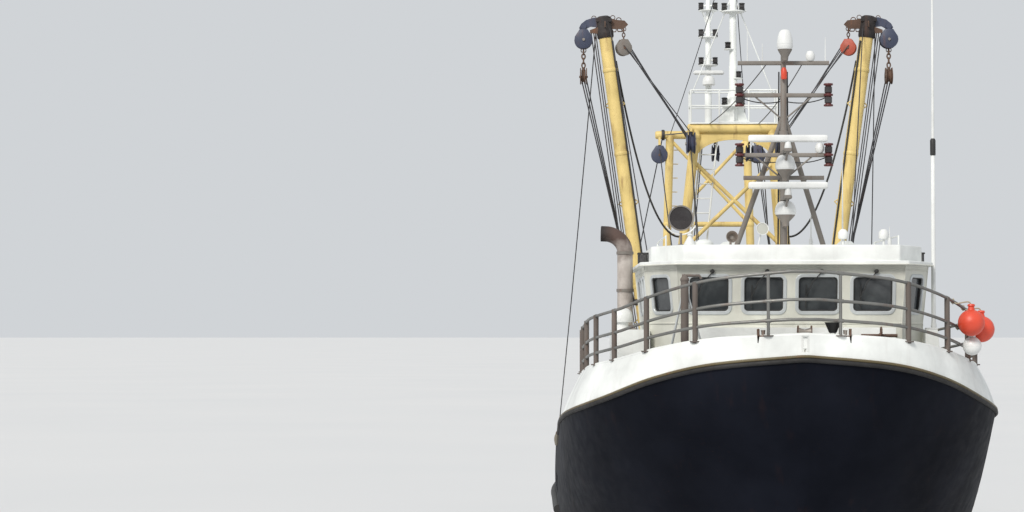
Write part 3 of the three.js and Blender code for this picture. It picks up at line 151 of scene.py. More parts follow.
def swept(path, profile, scale=1.0, ends=True):
    """A closed profile of (across, over) points carried along a path, scaled at each point."""
    path = np.asarray(path, float)
    _, across, over = frames_along(path)
    size = np.broadcast_to(scale, len(path))[:, None, None]
    shape = np.asarray(profile, float)[None, :, :] * size
    points = path[:, None, :] + shape[..., :1] * across[:, None, :] + shape[..., 1:] * over[:, None, :]
    return surface(points, ends=ends)


def circle(radius, sides):
    """Points of a circle: radius times the cosine and sine of equal steps of a turn."""
    turn = np.linspace(0, 2 * np.pi, sides, endpoint=False)
    return np.stack([np.cos(turn), np.sin(turn)], axis=1) * radius


def tube(path, radius, sides=20, scale=1.0):
    """A round bar: a circle carried along a path."""
    return swept(path, circle(radius, sides), scale)


def straight(start, end, steps=2):
    """Points evenly spaced on the line from start to end."""
    t = np.linspace(0, 1, steps)[:, None]
    return np.asarray(start, float) * (1 - t) + np.asarray(end, float) * t


def sagging(start, end, sag, steps=24):
    """A hanging line: the straight line lowered by a parabola that is sag deep half way."""
    points = straight(start, end, steps)
    t = np.linspace(0, 1, steps)
    points[:, 2] -= 4 * sag * t * (1 - t)
    return points


def whip(foot, high, radius, sides, steps, tip):
    """An upright rod that thins evenly to tip times its radius."""
    return tube(straight(foot, np.add(foot, (0, 0, high)), steps), radius, sides, np.linspace(1, tip, steps))


def turned(profile, centre, axis=(0, 0, 1), sides=32):
    """A profile of (radius, height) points turned about an axis through centre."""
    profile = np.asarray(profile, float)
    axis = unit(np.asarray(axis, float))
    across = unit(np.cross(axis, X if abs(axis[0]) < 0.9 else Y))
    over = np.cross(axis, across)
    turn = np.linspace(0, 2 * np.pi, sides, endpoint=False)
    round_way = np.cos(turn)[:, None] * across + np.sin(turn)[:, None] * over
    return surface(centre + profile[:, None, :1] * round_way + profile[:, None, 1:] * axis)


def block(low, high, edge=0.006):
    """A box with bevelled edges: every corner cut back by edge along each axis."""
    low, high = np.asarray(low, float), np.asarray(high, float)
    edge = min(edge, 0.45 * float(np.min(high - low)))
    levels = [(low[2], edge), (low[2] + edge, 0), (high[2] - edge, 0), (high[2], edge)]
    rings = []
    for height, pull in levels:
        x0, x1 = low[0] + pull, high[0] - pull
        y0, y1 = low[1] + pull, high[1] - pull
        ring = [
            (x0 + edge, y0), (x1 - edge, y0), (x1, y0 + edge), (x1, y1 - edge),
            (x1 - edge, y1), (x0 + edge, y1), (x0, y1 - edge), (x0, y0 + edge),
        ]
        rings.append([(x, y, height) for x, y in ring])
    return surface(np.array(rings))


def slab(outline, low, high, axis):
    """A flat plate: an outline of points in the two other axes, from low to high along axis."""
    outline = np.asarray(outline, float)
    rings = np.empty((2, len(outline), 3))
    others = [a for a in range(3) if a != axis]
    rings[:, :, others[0]] = outline[:, 0]
    rings[:, :, others[1]] = outline[:, 1]
    rings[0, :, axis] = low
    rings[1, :, axis] = high
    return surface(rings)


def rounded(width, height, radius, steps=5):
    """A rectangle centred on zero with a quarter circle of the radius at each corner."""
    quarter = np.linspace(0, np.pi / 2, steps)
    arc = np.stack([np.cos(quarter), np.sin(quarter)], axis=1) * radius
    centre = np.array([width / 2 - radius, height / 2 - radius])
    corners = []
    for k, sign in enumerate([(1, 1), (-1, 1), (-1, -1), (1, -1)]):
        turn = np.array([[math.cos(k * math.pi / 2), math.sin(k * math.pi / 2)],
                         [-math.sin(k * math.pi / 2), math.cos(k * math.pi / 2)]])
        corners.append(arc @ turn + centre * sign)
    return np.concatenate(corners)


def rod(radius, low, high):
    """The profile of a round bar between two heights."""
    return [(0, low), (radius, low), (radius, high), (0, high)]


def both_ways(half):
    """A profile and its mirror image below height zero."""
    return [(radius, -height) for radius, height in reversed(half)] + list(half)


def piece(name, parts, finish, body="ship", replaces=()):
    """Makes an object of the gathered surfaces, smooth up to an angle, riding on a body."""
    points, faces = gather(parts) if isinstance(parts, list) else parts
    mesh = bpy.data.meshes.new(name)
    mesh.from_pydata(points.tolist(), [], faces)
    mesh.validate()
    mesh.polygons.foreach_set("use_smooth", np.ones(len(mesh.polygons), bool))
    mesh.set_sharp_from_angle(angle=SMOOTH_ANGLE)
    mesh.materials.append(FINISHES[finish])
    made = bpy.data.objects.new(name, mesh)
    bpy.context.scene.collection.objects.link(made)
    face_out(mesh)
    if body:
        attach(made, body)
    if replaces:
        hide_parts(*replaces)
    return made


def face_out(mesh):
    """Turns every closed shell of a mesh so that its faces point outwards."""
    shell = bmesh.new()
    shell.from_mesh(mesh)
    bmesh.ops.recalc_face_normals(shell, faces=shell.faces)
    shell.to_mesh(mesh)
    shell.free()


# Finishes. Every pattern reads Object coordinates, which are metres in the ship's own frame.


class Recipe:
    """A material's node tree, and short ways to add to it."""

    def __init__(self, name):
        self.material = bpy.data.materials.new(name)
        self.material.use_nodes = True
        self.nodes = self.material.node_tree.nodes
        self.links = self.material.node_tree.links
        self.shader = self.nodes["Principled BSDF"]
        self.place = self.nodes.new("ShaderNodeTexCoord").outputs["Object"]

    def fill(self, socket, value):
        """Sets or links an input."""
        if isinstance(value, bpy.types.NodeSocket):
            self.links.new(value, socket)
        else:
            socket.default_value = value

    def node(self, kind, settings=None, **inputs):
        """Adds a node, sets its properties, and fills or links its inputs by name or number."""
        made = self.nodes.new(kind)
        for key, value in (settings or {}).items():
            setattr(made, key, value)
        for key, value in inputs.items():
            self.fill(made.inputs[int(key[1:]) if key[1:].isdigit() else key], value)
        return made

    def stretch(self, x, y, z):
        """The place scaled along each axis."""
        return self.node("ShaderNodeMapping", Vector=self.place, Scale=(x, y, z)).outputs[0]

    def noise(self, scale, detail=4.0, roughness=0.55, place=None):
        """Cloudy values from 0 to 1."""
        place = place or self.place
        made = self.node("ShaderNodeTexNoise", Vector=place, Scale=scale, Detail=detail, Roughness=roughness)
        return made.outputs["Fac"]

    def ramp(self, value, low, high, start=0.0, end=1.0):
        """Value moved from between low and high to between start and end, and held there."""
        return self.node("ShaderNodeMapRange", i0=value, i1=low, i2=high, i3=start, i4=end).outputs[0]

    def math(self, operation, first, second):
        """A sum, product or other result of two values."""
        return self.node("ShaderNodeMath", {"operation": operation}, i0=first, i1=second).outputs[0]

    def mix(self, amount, first, second):
        """A colour between two colours."""
        return self.node("ShaderNodeMix", {"data_type": "RGBA"}, i0=amount, i6=first, i7=second).outputs[2]

    def split(self):
        """The x, y and z of the place."""
        return self.node("ShaderNodeSeparateXYZ", i0=self.place).outputs

    def bump(self, height, strength, distance):
        """Raises the surface by height."""
        made = self.node("ShaderNodeBump", Strength=strength, Distance=distance, Height=height)
        self.into("Normal", made.outputs[0])

    def into(self, name, value):
        """Sets or links one of the shader's inputs."""
        self.fill(self.shader.inputs[name], value)


def rgba(color, times=1.0, plus=0.0):
    """A colour with full alpha, first multiplied and raised."""
    return (*(min(1.0, c * times + plus) for c in color), 1.0)


def painted(name, color, stain, stain_amount, roughness, metallic=0.0, dent=0.4):
    """Sea-worn paint: clouded colour, rust running down, chipped spots and brush-fine bumps."""
    recipe = Recipe(name)
    cloud = recipe.noise(1.3, 5.0)
    base = recipe.mix(recipe.ramp(cloud, 0.3, 0.7), rgba(color, 0.8), rgba(color, 1.12, 0.02))
    runs = recipe.noise(9.0, 3.0, 0.6, recipe.stretch(1.0, 1.0, 0.09))
    patches = recipe.noise(2.2, 4.0, 0.6)
    runs = recipe.math("MULTIPLY", recipe.ramp(runs, 0.5, 0.72), recipe.ramp(patches, 0.42, 0.62))
    chips = recipe.ramp(recipe.noise(38.0, 3.0, 0.7), 0.66, 0.7)
    chips = recipe.math("MULTIPLY", chips, recipe.ramp(recipe.noise(3.1, 2.0), 0.45, 0.65))
    runs = recipe.math("MULTIPLY", runs, stain_amount)
    chips = recipe.math("MULTIPLY", chips, stain_amount * 1.6)
    recipe.into("Base Color", recipe.mix(recipe.math("MAXIMUM", runs, chips), base, rgba(stain)))
    gloss = recipe.ramp(recipe.noise(16.0, 4.0), 0.3, 0.7, roughness - 0.08, roughness + 0.14)
    recipe.into("Roughness", gloss)
    recipe.into("Metallic", metallic)
    fine = recipe.noise(55.0, 3.0)
    wave = recipe.noise(1.1, 2.0)
    recipe.bump(recipe.math("ADD", recipe.math("MULTIPLY", fine, 0.25), wave), dent, 0.012)
    return recipe.material


PLATE_HIGH = 1.15
PLATE_LONG = 4.8


def hull_paint(name, color, stain, bottom):
    """Topsides with plate seams, rust runs and scuffs, and bottom paint under the waterline."""
    recipe = Recipe(name)
    _, y, z = recipe.split()
    cloud = recipe.noise(0.8, 6.0)
    base = recipe.mix(recipe.ramp(cloud, 0.35, 0.75), rgba(color), rgba(color, 1.7, 0.002))
    runs = recipe.noise(5.0, 4.0, 0.6, recipe.stretch(1.0, 1.0, 0.07))
    patches = recipe.noise(1.1, 4.0, 0.6)
    runs = recipe.math("MULTIPLY", recipe.ramp(runs, 0.55, 0.75), recipe.ramp(patches, 0.48, 0.68))
    scuffs = recipe.ramp(recipe.noise(14.0, 5.0, 0.75, recipe.stretch(1.0, 1.0, 3.0)), 0.62, 0.68)
    scuffs = recipe.math("MULTIPLY", scuffs, recipe.ramp(recipe.noise(0.7, 2.0), 0.5, 0.7, 0.0, 0.5))
    runs = recipe.math("MULTIPLY", runs, 0.08)
    worn = recipe.math("MAXIMUM", runs, recipe.math("MULTIPLY", scuffs, 0.25))
    topsides = recipe.mix(worn, base, rgba(stain))
    under = recipe.ramp(z, -0.03, 0.0, 1.0, 0.0)
    recipe.into("Base Color", recipe.mix(under, topsides, rgba(bottom)))
    recipe.into("Roughness", recipe.ramp(recipe.noise(5.0, 3.0), 0.3, 0.7, 0.5, 0.62))
    recipe.into("Specular IOR Level", 0.045)
    strakes, butts = (
        recipe.ramp(recipe.math("PINGPONG", place, size / 2), 0.0, 0.012, 0.3, 0.0)
        for place, size in ((z, PLATE_HIGH), (y, PLATE_LONG))
    )
    seam = recipe.math("MAXIMUM", strakes, butts)
    dents = recipe.noise(1.6, 3.0)
    recipe.bump(recipe.math("ADD", seam, dents), 0.22, 0.014)
    return recipe.material


EXHAUST_X = -2.47
CASING = 5.09


def exhaust_paint(name):
    """Grey heat-worn paint that goes to soot towards the gooseneck's mouth."""
    recipe = Recipe(name)
    x, _, z = recipe.split()
    cloud = recipe.noise(6.0, 5.0)
    paint = recipe.mix(recipe.ramp(cloud, 0.35, 0.7), rgba((0.5, 0.455, 0.42)), rgba((0.35, 0.31, 0.28)))
    burnt = recipe.ramp(recipe.math("ADD", z, recipe.math("MULTIPLY", cloud, 0.5)), 6.45, 6.95)
    mouth = recipe.ramp(x, EXHAUST_X - 0.19, EXHAUST_X - 0.39)
    dark = recipe.mix(burnt, paint, rgba((0.09, 0.055, 0.045)))
    recipe.into("Base Color", recipe.mix(mouth, dark, rgba((0.02, 0.015, 0.014))))
    recipe.into("Roughness", 0.7)
    recipe.bump(recipe.noise(30.0, 4.0), 0.5, 0.01)
    return recipe.material


def glass(name, color):
    """Dark reflecting glass with a faint haze of salt."""
    recipe = Recipe(name)
    haze = recipe.ramp(recipe.noise(3.0, 3.0), 0.4, 0.8, 0.0, 0.09)
    recipe.into("Base Color", recipe.mix(haze, rgba(color), rgba((0.5, 0.55, 0.55))))
    recipe.into("Roughness", recipe.ramp(recipe.noise(22.0, 3.0), 0.3, 0.8, 0.03, 0.16))
    recipe.into("Specular IOR Level", 0.7)
    return recipe.material


# The user's settings.


def swatch(name, description, default):
    """A colour setting."""
    return FloatVectorProperty(name=name, description=description, subtype="COLOR", default=default)


class TrawlerSettings(bpy.types.PropertyGroup):
    """The camera's place and the main colours."""

    eye_height: FloatProperty(
        name="Eye height", description="Height of the camera above the waterline", default=5.0, unit="LENGTH",
    )
    eye_distance: FloatProperty(
        name="Eye distance", description="Distance from the camera to the stem", default=38.0, unit="LENGTH",
    )
    navy: swatch("Topsides", "Colour of the hull", (0.0045, 0.0055, 0.0095))
    white: swatch("White", "Colour of the whaleback and roof", (0.8, 0.82, 0.8))
    cream: swatch("House", "Colour of the wheelhouse walls", (0.645, 0.645, 0.575))
    yellow: swatch("Spars", "Colour of the gantry and booms", (0.72, 0.545, 0.2))
    rust: swatch("Rust", "Colour of stains and bare steel", (0.16, 0.06, 0.025))
    bottom: swatch("Bottom paint", "Colour under the waterline", (0.19, 0.035, 0.025))


def settings():
    """The scene's settings."""
    return bpy.context.scene.trawler


FINISHES = {}


# A paint's row is its label, colour, stain's colour and amount, roughness, and where given metal and dent.
PAINTS = dict(
    white=("White paint", "white", "rust", 0.09, 0.4),
    cream=("House paint", "cream", "rust", 0.1, 0.42),
    yellow=("Spar yellow", "yellow", "rust", 0.8, 0.5),
    grey=("Mast grey", (0.2, 0.18, 0.16), "rust", 0.55, 0.55),
    blue=("Block blue", (0.035, 0.045, 0.085), "rust", 0.5, 0.5),
    rust=("Rusted steel", (0.1, 0.055, 0.035), (0.22, 0.08, 0.03), 0.8, 0.75),
    steel=("Worn steel", (0.3, 0.27, 0.24), "rust", 0.7, 0.45, 0.6),
    bronze=("Bronze", (0.42, 0.27, 0.09), (0.1, 0.16, 0.1), 0.4, 0.35, 0.9),
    orange=("Orange vinyl", (0.72, 0.07, 0.03), (0.1, 0.03, 0.02), 0.2, 0.42, 0.0, 0.15),
    plastic=("White plastic", (0.74, 0.75, 0.74), (0.2, 0.17, 0.12), 0.12, 0.3, 0.0, 0.1),
    deck=("Deck paint", (0.09, 0.1, 0.09), "rust", 0.6, 0.65),
    frame=("Frame metal", (0.56, 0.59, 0.6), "rust", 0.1, 0.4, 0.2, 0.1),
    ochre=("Moulding", (0.11, 0.085, 0.035), "rust", 0.6, 0.5),
    fender_brown=("Fender strip", (0.009, 0.008, 0.008), (0.02, 0.014, 0.01), 0.3, 0.7),
    rail=("Galvanised rail", (0.2, 0.2, 0.19), "rust", 0.5, 0.45, 0.5),
    rust_post=("Rusty posts", (0.12, 0.098, 0.085), "rust", 0.6, 0.7),
    soot=("Soot", (0.018, 0.014, 0.014), "rust", 0.4, 0.8),
    lantern=("Lantern red", (0.1, 0.014, 0.014), (0.02, 0.01, 0.01), 0.3, 0.45),
    green=("Deck machinery", (0.06, 0.12, 0.09), "rust", 0.7, 0.5),
    red=("Block red", (0.42, 0.07, 0.035), "rust", 0.6, 0.5),
    rope=("Rope", (0.42, 0.36, 0.26), (0.1, 0.08, 0.06), 0.3, 0.85, 0.0, 0.8),
    wire=("Steel wire", (0.045, 0.045, 0.05), "rust", 0.35, 0.55, 0.5),
    black=("Black rubber", (0.012, 0.012, 0.012), (0.08, 0.07, 0.06), 0.3, 0.6),
)

GLASSES = dict(
    glass=("Window glass", (0.034, 0.038, 0.042)),
    lamp_dark=("Dark lens", (0.02, 0.015, 0.015)),
    lamp_clear=("Lamp glass", (0.5, 0.5, 0.45)),
)


def make_finishes():
    """Fills the table of finishes; a colour given as a name is one of the settings."""
    chosen = settings()
    for finish, (label, *colors_and_wear) in PAINTS.items():
        row = [getattr(chosen, value) if isinstance(value, str) else value for value in colors_and_wear]
        FINISHES[finish] = painted(label, *row)
    for finish, row in GLASSES.items():
        FINISHES[finish] = glass(*row)
    FINISHES["exhaust"] = exhaust_paint("Exhaust paint")
    FINISHES["navy"] = hull_paint("Navy topsides", chosen.navy, chosen.rust, chosen.bottom)


SLOT_FINISH = {
    "navy_paint": "navy",
    "white_paint": "white",
    "cream_paint": "cream",
    "yellow_paint": "yellow",
    "grey_paint": "grey",
    "blue_paint": "blue",
    "rusted_steel": "rust",
    "worn_steel": "steel",
    "bronze": "bronze",
    "orange_plastic": "orange",
    "white_plastic": "plastic",
}


# The ship's lines in metres, as the part has them. A row is a station: how far aft its top and its keel lie,
# then half-breadth and height at the keel, bilge, waterline, deck edge and top of the dark side, and last the
# height of the white band's top and how far it leans in.
LINES = np.array([
    [0, 3.4, 0.06, -2.2, 0.06, -1.3, 0.06, 0, 0.06, 2.45, 0.06, 4.68, 5, 0],
    [0.35, 3.7, 0.07, -2.23, 0.13, -1.3, 0.23, 0, 0.8, 2.42, 1.35, 4.56, 4.93, 0.03],
    [1, 4.3, 0.09, -2.26, 0.35, -1.3, 0.62, 0, 1.6, 2.39, 2.2, 4.35, 4.8, 0.1],
    [2, 5.2, 0.11, -2.3, 0.75, -1.3, 1.25, 0, 2.4, 2.33, 2.92, 4.04, 4.62, 0.2],
    [3.5, 6.1, 0.12, -2.33, 1.35, -1.35, 2.05, 0, 3.05, 2.23, 3.44, 3.79, 4.49, 0.31],
    [5.5, 7.3, 0.12, -2.36, 2.1, -1.4, 2.8, 0, 3.44, 2.1, 3.59, 3.6, 4.39, 0.38],
    [8, 8.5, 0.12, -2.38, 2.75, -1.45, 3.3, 0, 3.58, 1.95, 3.6, 3.37, 4.3, 0.38],
    [9.6, 9.6, 0.12, -2.39, 2.98, -1.48, 3.42, 0, 3.6, 1.86, 3.6, 3.2, 4.24, 0.38],
    [12.5, 12.5, 0.12, -2.4, 3.15, -1.5, 3.5, 0, 3.6, 1.72, 3.6, 2.88, 3.95, 0.23],
    [16.5, 16.5, 0.12, -2.35, 3.15, -1.4, 3.52, 0, 3.6, 1.6, 3.6, 2.68, 3.7, 0.23],
    [20, 20, 0.12, -1.8, 2.75, -0.85, 3.42, 0, 3.6, 1.62, 3.59, 2.7, 3.7, 0.23],
    [22.5, 22.5, 0.11, -0.95, 1.95, -0.42, 2.98, 0.02, 3.4, 1.7, 3.45, 2.78, 3.7, 0.23],
    [24.7, 24.7, 0.1, -0.3, 1.3, -0.12, 2.15, 0.2, 2.97, 1.8, 3.06, 2.9, 3.7, 0.23],
    [26.5, 26.5, 0.08, 0.25, 1, 0.4, 1.5, 0.7, 2.05, 1.9, 2.15, 3, 3.7, 0.23],
])
LAST_STATION = len(LINES) - 1
BREAK_STATION = 7
BREAK = 9.6
STEM_CURVE = 1.4
DECK_LEVEL = 3
TOP_LEVEL = 4
WALL = 0.07
BAND = 0.06
WHALEBACK = 4.15
GAP = 0.0003


def catmull(table, u):
    """A smooth curve through a table's rows: the cubic of Catmull and Rom, at places u in rows."""
    u = np.asarray(u, float)
    last = len(table) - 1
    i = np.clip(np.floor(u).astype(int), 0, last - 1)
    t = (u - i).reshape(-1, *[1] * (table.ndim - 1))
    a, b, c, d = (table[np.clip(i + k, 0, last)] for k in (-1, 0, 1, 2))
    return b + 0.5 * t * (c - a + t * (2 * a - 5 * b + 4 * c - d + t * (3 * (b - c) + d - a)))


def aft_at(stations, z):
    """How far aft each station's line passes height z: its rake times a power of the depth."""
    depth = (stations[:, 11:12] - z) / (stations[:, 11:12] - stations[:, 3:4])
    return stations[:, :1] + (stations[:, 1:2] - stations[:, :1]) * np.maximum(0, depth) ** STEM_CURVE


def side(u, levels, inset=0.0):
    """Port side points: at each station u the smooth section through five levels, less inset."""
    stations = catmull(LINES, u)
    sections = stations[:, 2:12].reshape(-1, 5, 2).transpose(1, 0, 2)
    points = catmull(sections, levels).transpose(1, 0, 2)
    x, z = points[..., 0] - inset, points[..., 1]
    return np.stack([x, aft(aft_at(stations, z)), z], axis=-1)


def both_sides(port):
    """Rings across the ship: the port points, then their mirror images in reverse."""
    starboard = port[:, ::-1] * MIRROR
    return np.concatenate([port, starboard], axis=1)


def station_of(s):
    """The station number at s, by interpolation on the tops of the stations."""
    u = np.linspace(0, LAST_STATION, 1400)
    return np.interp(s, catmull(LINES, u)[:, 0], u)


def band_points(u, inside=0.0):
    """Port points of the white band's top edge, drawn in by inside."""
    stations = catmull(LINES, u)
    x = stations[:, 10] - stations[:, 13] - inside
    return np.stack([np.maximum(x, 0), aft(stations[:, 0]), stations[:, 12]], axis=1)


def across_bow(port):
    """A route from the starboard end round the stem to the port end."""
    return np.concatenate([port[::-1] * MIRROR, port])


def slat(points, depth):
    """A closed bar between two long edges, thickened upwards by depth."""
    low = points
    high = points[:, ::-1] + np.array([0, 0, depth])
    return surface(np.concatenate([low, high], axis=1))


# Hull.

SKEG_OUTLINE = [
    (3.7, -2.1), (4.7, -2.7), (6.5, -3.0), (24.15, -3.0), (24.15, -2.84), (22.25, -2.84),
    (22.05, -1.0), (22.05, -0.3), (12.0, -0.3),
]
SKEG_HALF = 0.12
SHAFT_Z = -1.8
HULL_ROWS = 10


def hull_pieces():
    """The lofted hull with skeg and propeller boss, the forecastle sides and rubbing strakes."""
    u = np.linspace(0, LAST_STATION, LAST_STATION * HULL_ROWS + 1)
    shell = surface(both_sides(side(u, np.linspace(0, DECK_LEVEL, 40))))
    skeg = slab([(aft(s), z) for s, z in SKEG_OUTLINE], -SKEG_HALF, SKEG_HALF, 0)
    boss = tube([(0, aft(21.4), SHAFT_Z), (0, aft(22.42), SHAFT_Z)], 0.19, 32, (1.0, 0.8))
    piece("hull_shell", [shell, skeg, boss], "navy", replaces=["hull"])
    fore = np.linspace(0, BREAK_STATION, BREAK_STATION * HULL_ROWS + 1)
    sides = side(fore, np.linspace(DECK_LEVEL, TOP_LEVEL, 9))
    piece("forecastle_shell", surface(both_sides(sides)), "navy", replaces=["forecastle"])
    edge = side(np.linspace(BREAK_STATION, 12, 51), [DECK_LEVEL])[:, 0] + (0.01, 0, -0.1)
    piece("rubbing_strakes", [tube(edge * (k, 1, 1), 0.09, 16) for k in (1, -1)], "black")


# Whaleback.


def whaleback_pieces():
    """The white band of plating, bulged by half a sine wave, its deck, cap and mouldings."""
    u = np.linspace(0, BREAK_STATION, BREAK_STATION * HULL_ROWS + 1)
    stations = catmull(LINES, u)
    knuckle_x, knuckle_z = stations[:, 10], stations[:, 11] + GAP
    top_x, top_z = stations[:, 10] - stations[:, 13], stations[:, 12]
    forward = np.maximum(0, 1 - u / 3) * 1.7 * BAND
    inner_x = np.maximum(0.005, top_x - BAND - forward * 0.4)
    deck_z = np.maximum(knuckle_z + 0.06, WHALEBACK)
    y = aft(stations[:, 0])
    rows = []
    for share in np.linspace(0, 1, 6):
        belly = 0.03 * math.sin(math.pi * share) * np.minimum(1, u)
        rows.append((knuckle_x + (top_x - knuckle_x) * share + belly, y,
                     knuckle_z + (top_z - knuckle_z) * share))
    rows += [(inner_x, y + forward, top_z), (inner_x, y + forward, deck_z)]
    skin = np.array(rows).transpose(2, 0, 1)
    piece("whaleback_shell", surface(both_sides(skin)), "white", replaces=["whaleback"])
    edge = np.column_stack([inner_x - 0.004, y + forward, deck_z + 0.002])[4:]
    piece("foredeck_paint", slat(np.stack([edge, edge * MIRROR], axis=1), 0.006), "deck")
    cap = band_points(u, BAND * 0.5)
    cap[:, 1] += forward * 0.5
    line = np.column_stack([knuckle_x + 0.006, y - 0.004, knuckle_z])
    fender = side(u, [TOP_LEVEL - 0.045])[:, 0] + (0.006, -0.004, 0)
    for name, port, radius, look in (
        ("band_cap", cap, 0.036, "white"),
        ("knuckle_moulding", line, 0.022, "ochre"),
        ("knuckle_fender", fender, 0.036, "fender_brown"),
    ):
        piece(name, tube(across_bow(port), radius, 12), look)


# Bulwark.

PORTS = Sizes(first=11.2, step=2.4, count=5, length=1.1, low=0.13, high=0.4)


def wall_between(s0, s1, low, high):
    """Bulwark plating both sides, from low to high shares of its height, one wall thick."""
    u = station_of(np.linspace(s0, s1, max(2, int((s1 - s0) / 0.25))))
    levels = np.linspace(DECK_LEVEL + low, DECK_LEVEL + high, 4)
    inset = WALL * (1 + np.maximum(0, u - 11) * 0.35)[:, None]
    ring = np.concatenate([side(u, levels), side(u, levels, inset)[:, ::-1]], axis=1)
    return [surface(ring), surface(ring * MIRROR)]


def bulwark_pieces():
    """The bulwark in strips round the freeing ports, its cap, stanchions and the deck's paint."""
    height = 1.1
    low, high = PORTS.low / height, PORTS.high / height
    parts = wall_between(BREAK, LENGTH, high, 1) + wall_between(BREAK, LENGTH, 0.002, low)
    starts = [PORTS.first + k * PORTS.step for k in range(PORTS.count)]
    for s0, s1 in zip([BREAK] + [s + PORTS.length for s in starts], starts + [LENGTH]):
        parts += wall_between(s0, s1, low, high)
    (x0, _, z0), (x1, _, z1) = side([LAST_STATION], [DECK_LEVEL + 0.002, TOP_LEVEL])[0]
    half = min(x0, x1)
    transom = [(-half, z0), (half, z0), (x1, z1), (-x1, z1)]
    parts.append(slab(transom, aft(LENGTH) - WALL, aft(LENGTH) - 0.001, 1))
    piece("bulwark_shell", parts, "navy", replaces=["bulwark"])
    top = side(station_of(np.linspace(BREAK + 0.02, LENGTH - 0.04, 120)), [TOP_LEVEL], WALL * 0.5)[:, 0]
    routes = (top, top * MIRROR, straight(top[-1], top[-1] * MIRROR, 3))
    piece("bulwark_cap", [swept(route, rounded(0.15, 0.05, 0.02)) for route in routes], "ochre")
    parts = []
    levels = [DECK_LEVEL + 0.02, TOP_LEVEL - 0.04]
    for s in np.arange(BREAK + 0.7, LENGTH - 1.6, 1.2):
        (x0, y, z0), (x1, _, z1) = side(station_of([s]), levels, WALL + 0.01)[0]
        for k in (1, -1):
            outline = [(k * x0, z0), (k * (x0 - 0.2), z0), (k * (x1 - 0.04), z1), (k * x1, z1)]
            parts.append(slab(outline, y - 0.006, y + 0.006, 1))
    piece("bulwark_stanchions", parts, "navy")
    u = station_of(np.linspace(BREAK + 0.05, LENGTH - 0.12, 120))
    edge = side(u, [DECK_LEVEL], WALL + 0.02)[:, 0] + (0, 0, 0.003)
    piece("main_deck_paint", slat(np.stack([edge, edge * MIRROR], axis=1), 0.006), "deck")


# Rail round the whaleback.

RAIL = Sizes(levels=(0.25, 0.56, 1.0), high=0.97, low=0.79, radius=0.024, post=0.042, last=6.4)
RAIL_POSTS = (0.45, 1.35, 2.35, 3.17, 3.8, 4.6, 5.5, 6.4)


def rail_points(u, share):
    """Port points of a rail over the band's middle, at a share of a height that falls evenly aft."""
    u = np.asarray(u, float)
    ahead = np.maximum(0, 1 - u / 3)
    points = band_points(u, BAND / 2)
    points[:, 1] += 0.045 * np.maximum(0, 1 - u)
    points[:, 2] += share * (RAIL.low + (RAIL.high - RAIL.low) * ahead)
    return points


def rail_pieces():
    """Three smooth tubes round the bow, thin posts at the stem and stout rusty ones aft."""
    u = np.linspace(0.2, RAIL.last, 90)
    tubes = [tube(across_bow(rail_points(u, share)), RAIL.radius, 12) for share in RAIL.levels]
    cad_rails = ["bow_rail_fore_port", "bow_rail_fore_starboard", "bow_rail_aft_port",
                 "bow_rail_aft_starboard"]
    piece("rail_tubes", tubes, "rail", replaces=cad_rails)
    thin, stout, plates, clamps = [], [], [], []
    plate = [(0.075, 0), (0.085, 0.006), (0.085, 0.016), (0.075, 0.02)]
    for place, k in product(RAIL_POSTS, (1, -1)):
        foot, base, head = (rail_points([place], share)[0] * (k, 1, 1) for share in (-0.02, 0, 1.0))
        posts, radius = (stout, RAIL.post) if place > 1 else (thin, RAIL.radius)
        posts.append(tube([foot, head + (0, 0, radius * 0.4)], radius, 16))
        plates.append(turned(plate, base, sides=20))
        for share in RAIL.levels:
            clamps.append(tube(rail_points([place - 0.03, place + 0.03], share) * (k, 1, 1),
                               RAIL.radius + 0.007, 12))
    piece("rail_posts_fore", thin, "rail")
    piece("rail_posts_side", stout, "rust_post")
    piece("rail_plates", plates, "rust_post")
    piece("rail_clamps", clamps, "rail")


# The wheelhouse, as the part has it.

HOUSE = Sizes(x=0.12, front=3.5, aft=8.3, front_half=1.8, half=2.25, corner=0.78, sill=5.18, top=6.13,
             rake=0.15)
ROOF = Sizes(overhang=0.13, thick=0.33, narrow=0.93)
ROOF_Z = HOUSE.top + ROOF.thick
WINDOW = Sizes(low=5.37, high=5.95, half=0.33, round=0.08)
FRONT_WINDOWS = (-1.325, -0.44, 0.44, 1.325)
SIDE_WINDOWS = (5.05, 6.0, 6.95)
DOOR = Sizes(x0=0.35, x1=1.05, z0=4.2, z1=6.0)


def house_plan(z, grow=0.0):
    """The wheelhouse plan's six corners at height z, leaning out over the sill, grown by grow."""
    lean = HOUSE.rake * max(0, z - HOUSE.sill) / (HOUSE.top - HOUSE.sill)
    out = lean + grow
    half = HOUSE.half + out * 0.6
    port = np.array([
        [HOUSE.front_half + out * 0.3, aft(HOUSE.front - out)],
        [half, aft(HOUSE.front + HOUSE.corner - out * 0.3)],
        [half, aft(HOUSE.aft + grow)],
    ])
    return np.concatenate([port, port[::-1] * np.array([-1.0, 1.0])])


def round_off(corners, radius, steps=4):
    """A polygon with each corner swapped for a parabola between two points at radius from it."""
    before, after = (unit(np.roll(corners, shift, axis=0) - corners) * radius for shift in (1, -1))
    t = np.linspace(0, 1, steps)[None, :, None]
    bend = before[:, None] * (1 - t) ** 2 + after[:, None] * t**2
    return (corners[:, None] + bend).reshape(-1, 2)


def house_ring(ring, z):
    """A plan's corners as points at height z, which is one number or one for each."""
    return np.column_stack([HOUSE.x + ring[:, 0], ring[:, 1], np.broadcast_to(z, len(ring))])


def roof_ring(z, grow, narrow=1.0):
    """The roof's outline at height z."""
    return house_ring(round_off(house_plan(HOUSE.top, grow), 0.03) * (narrow, 1), z)


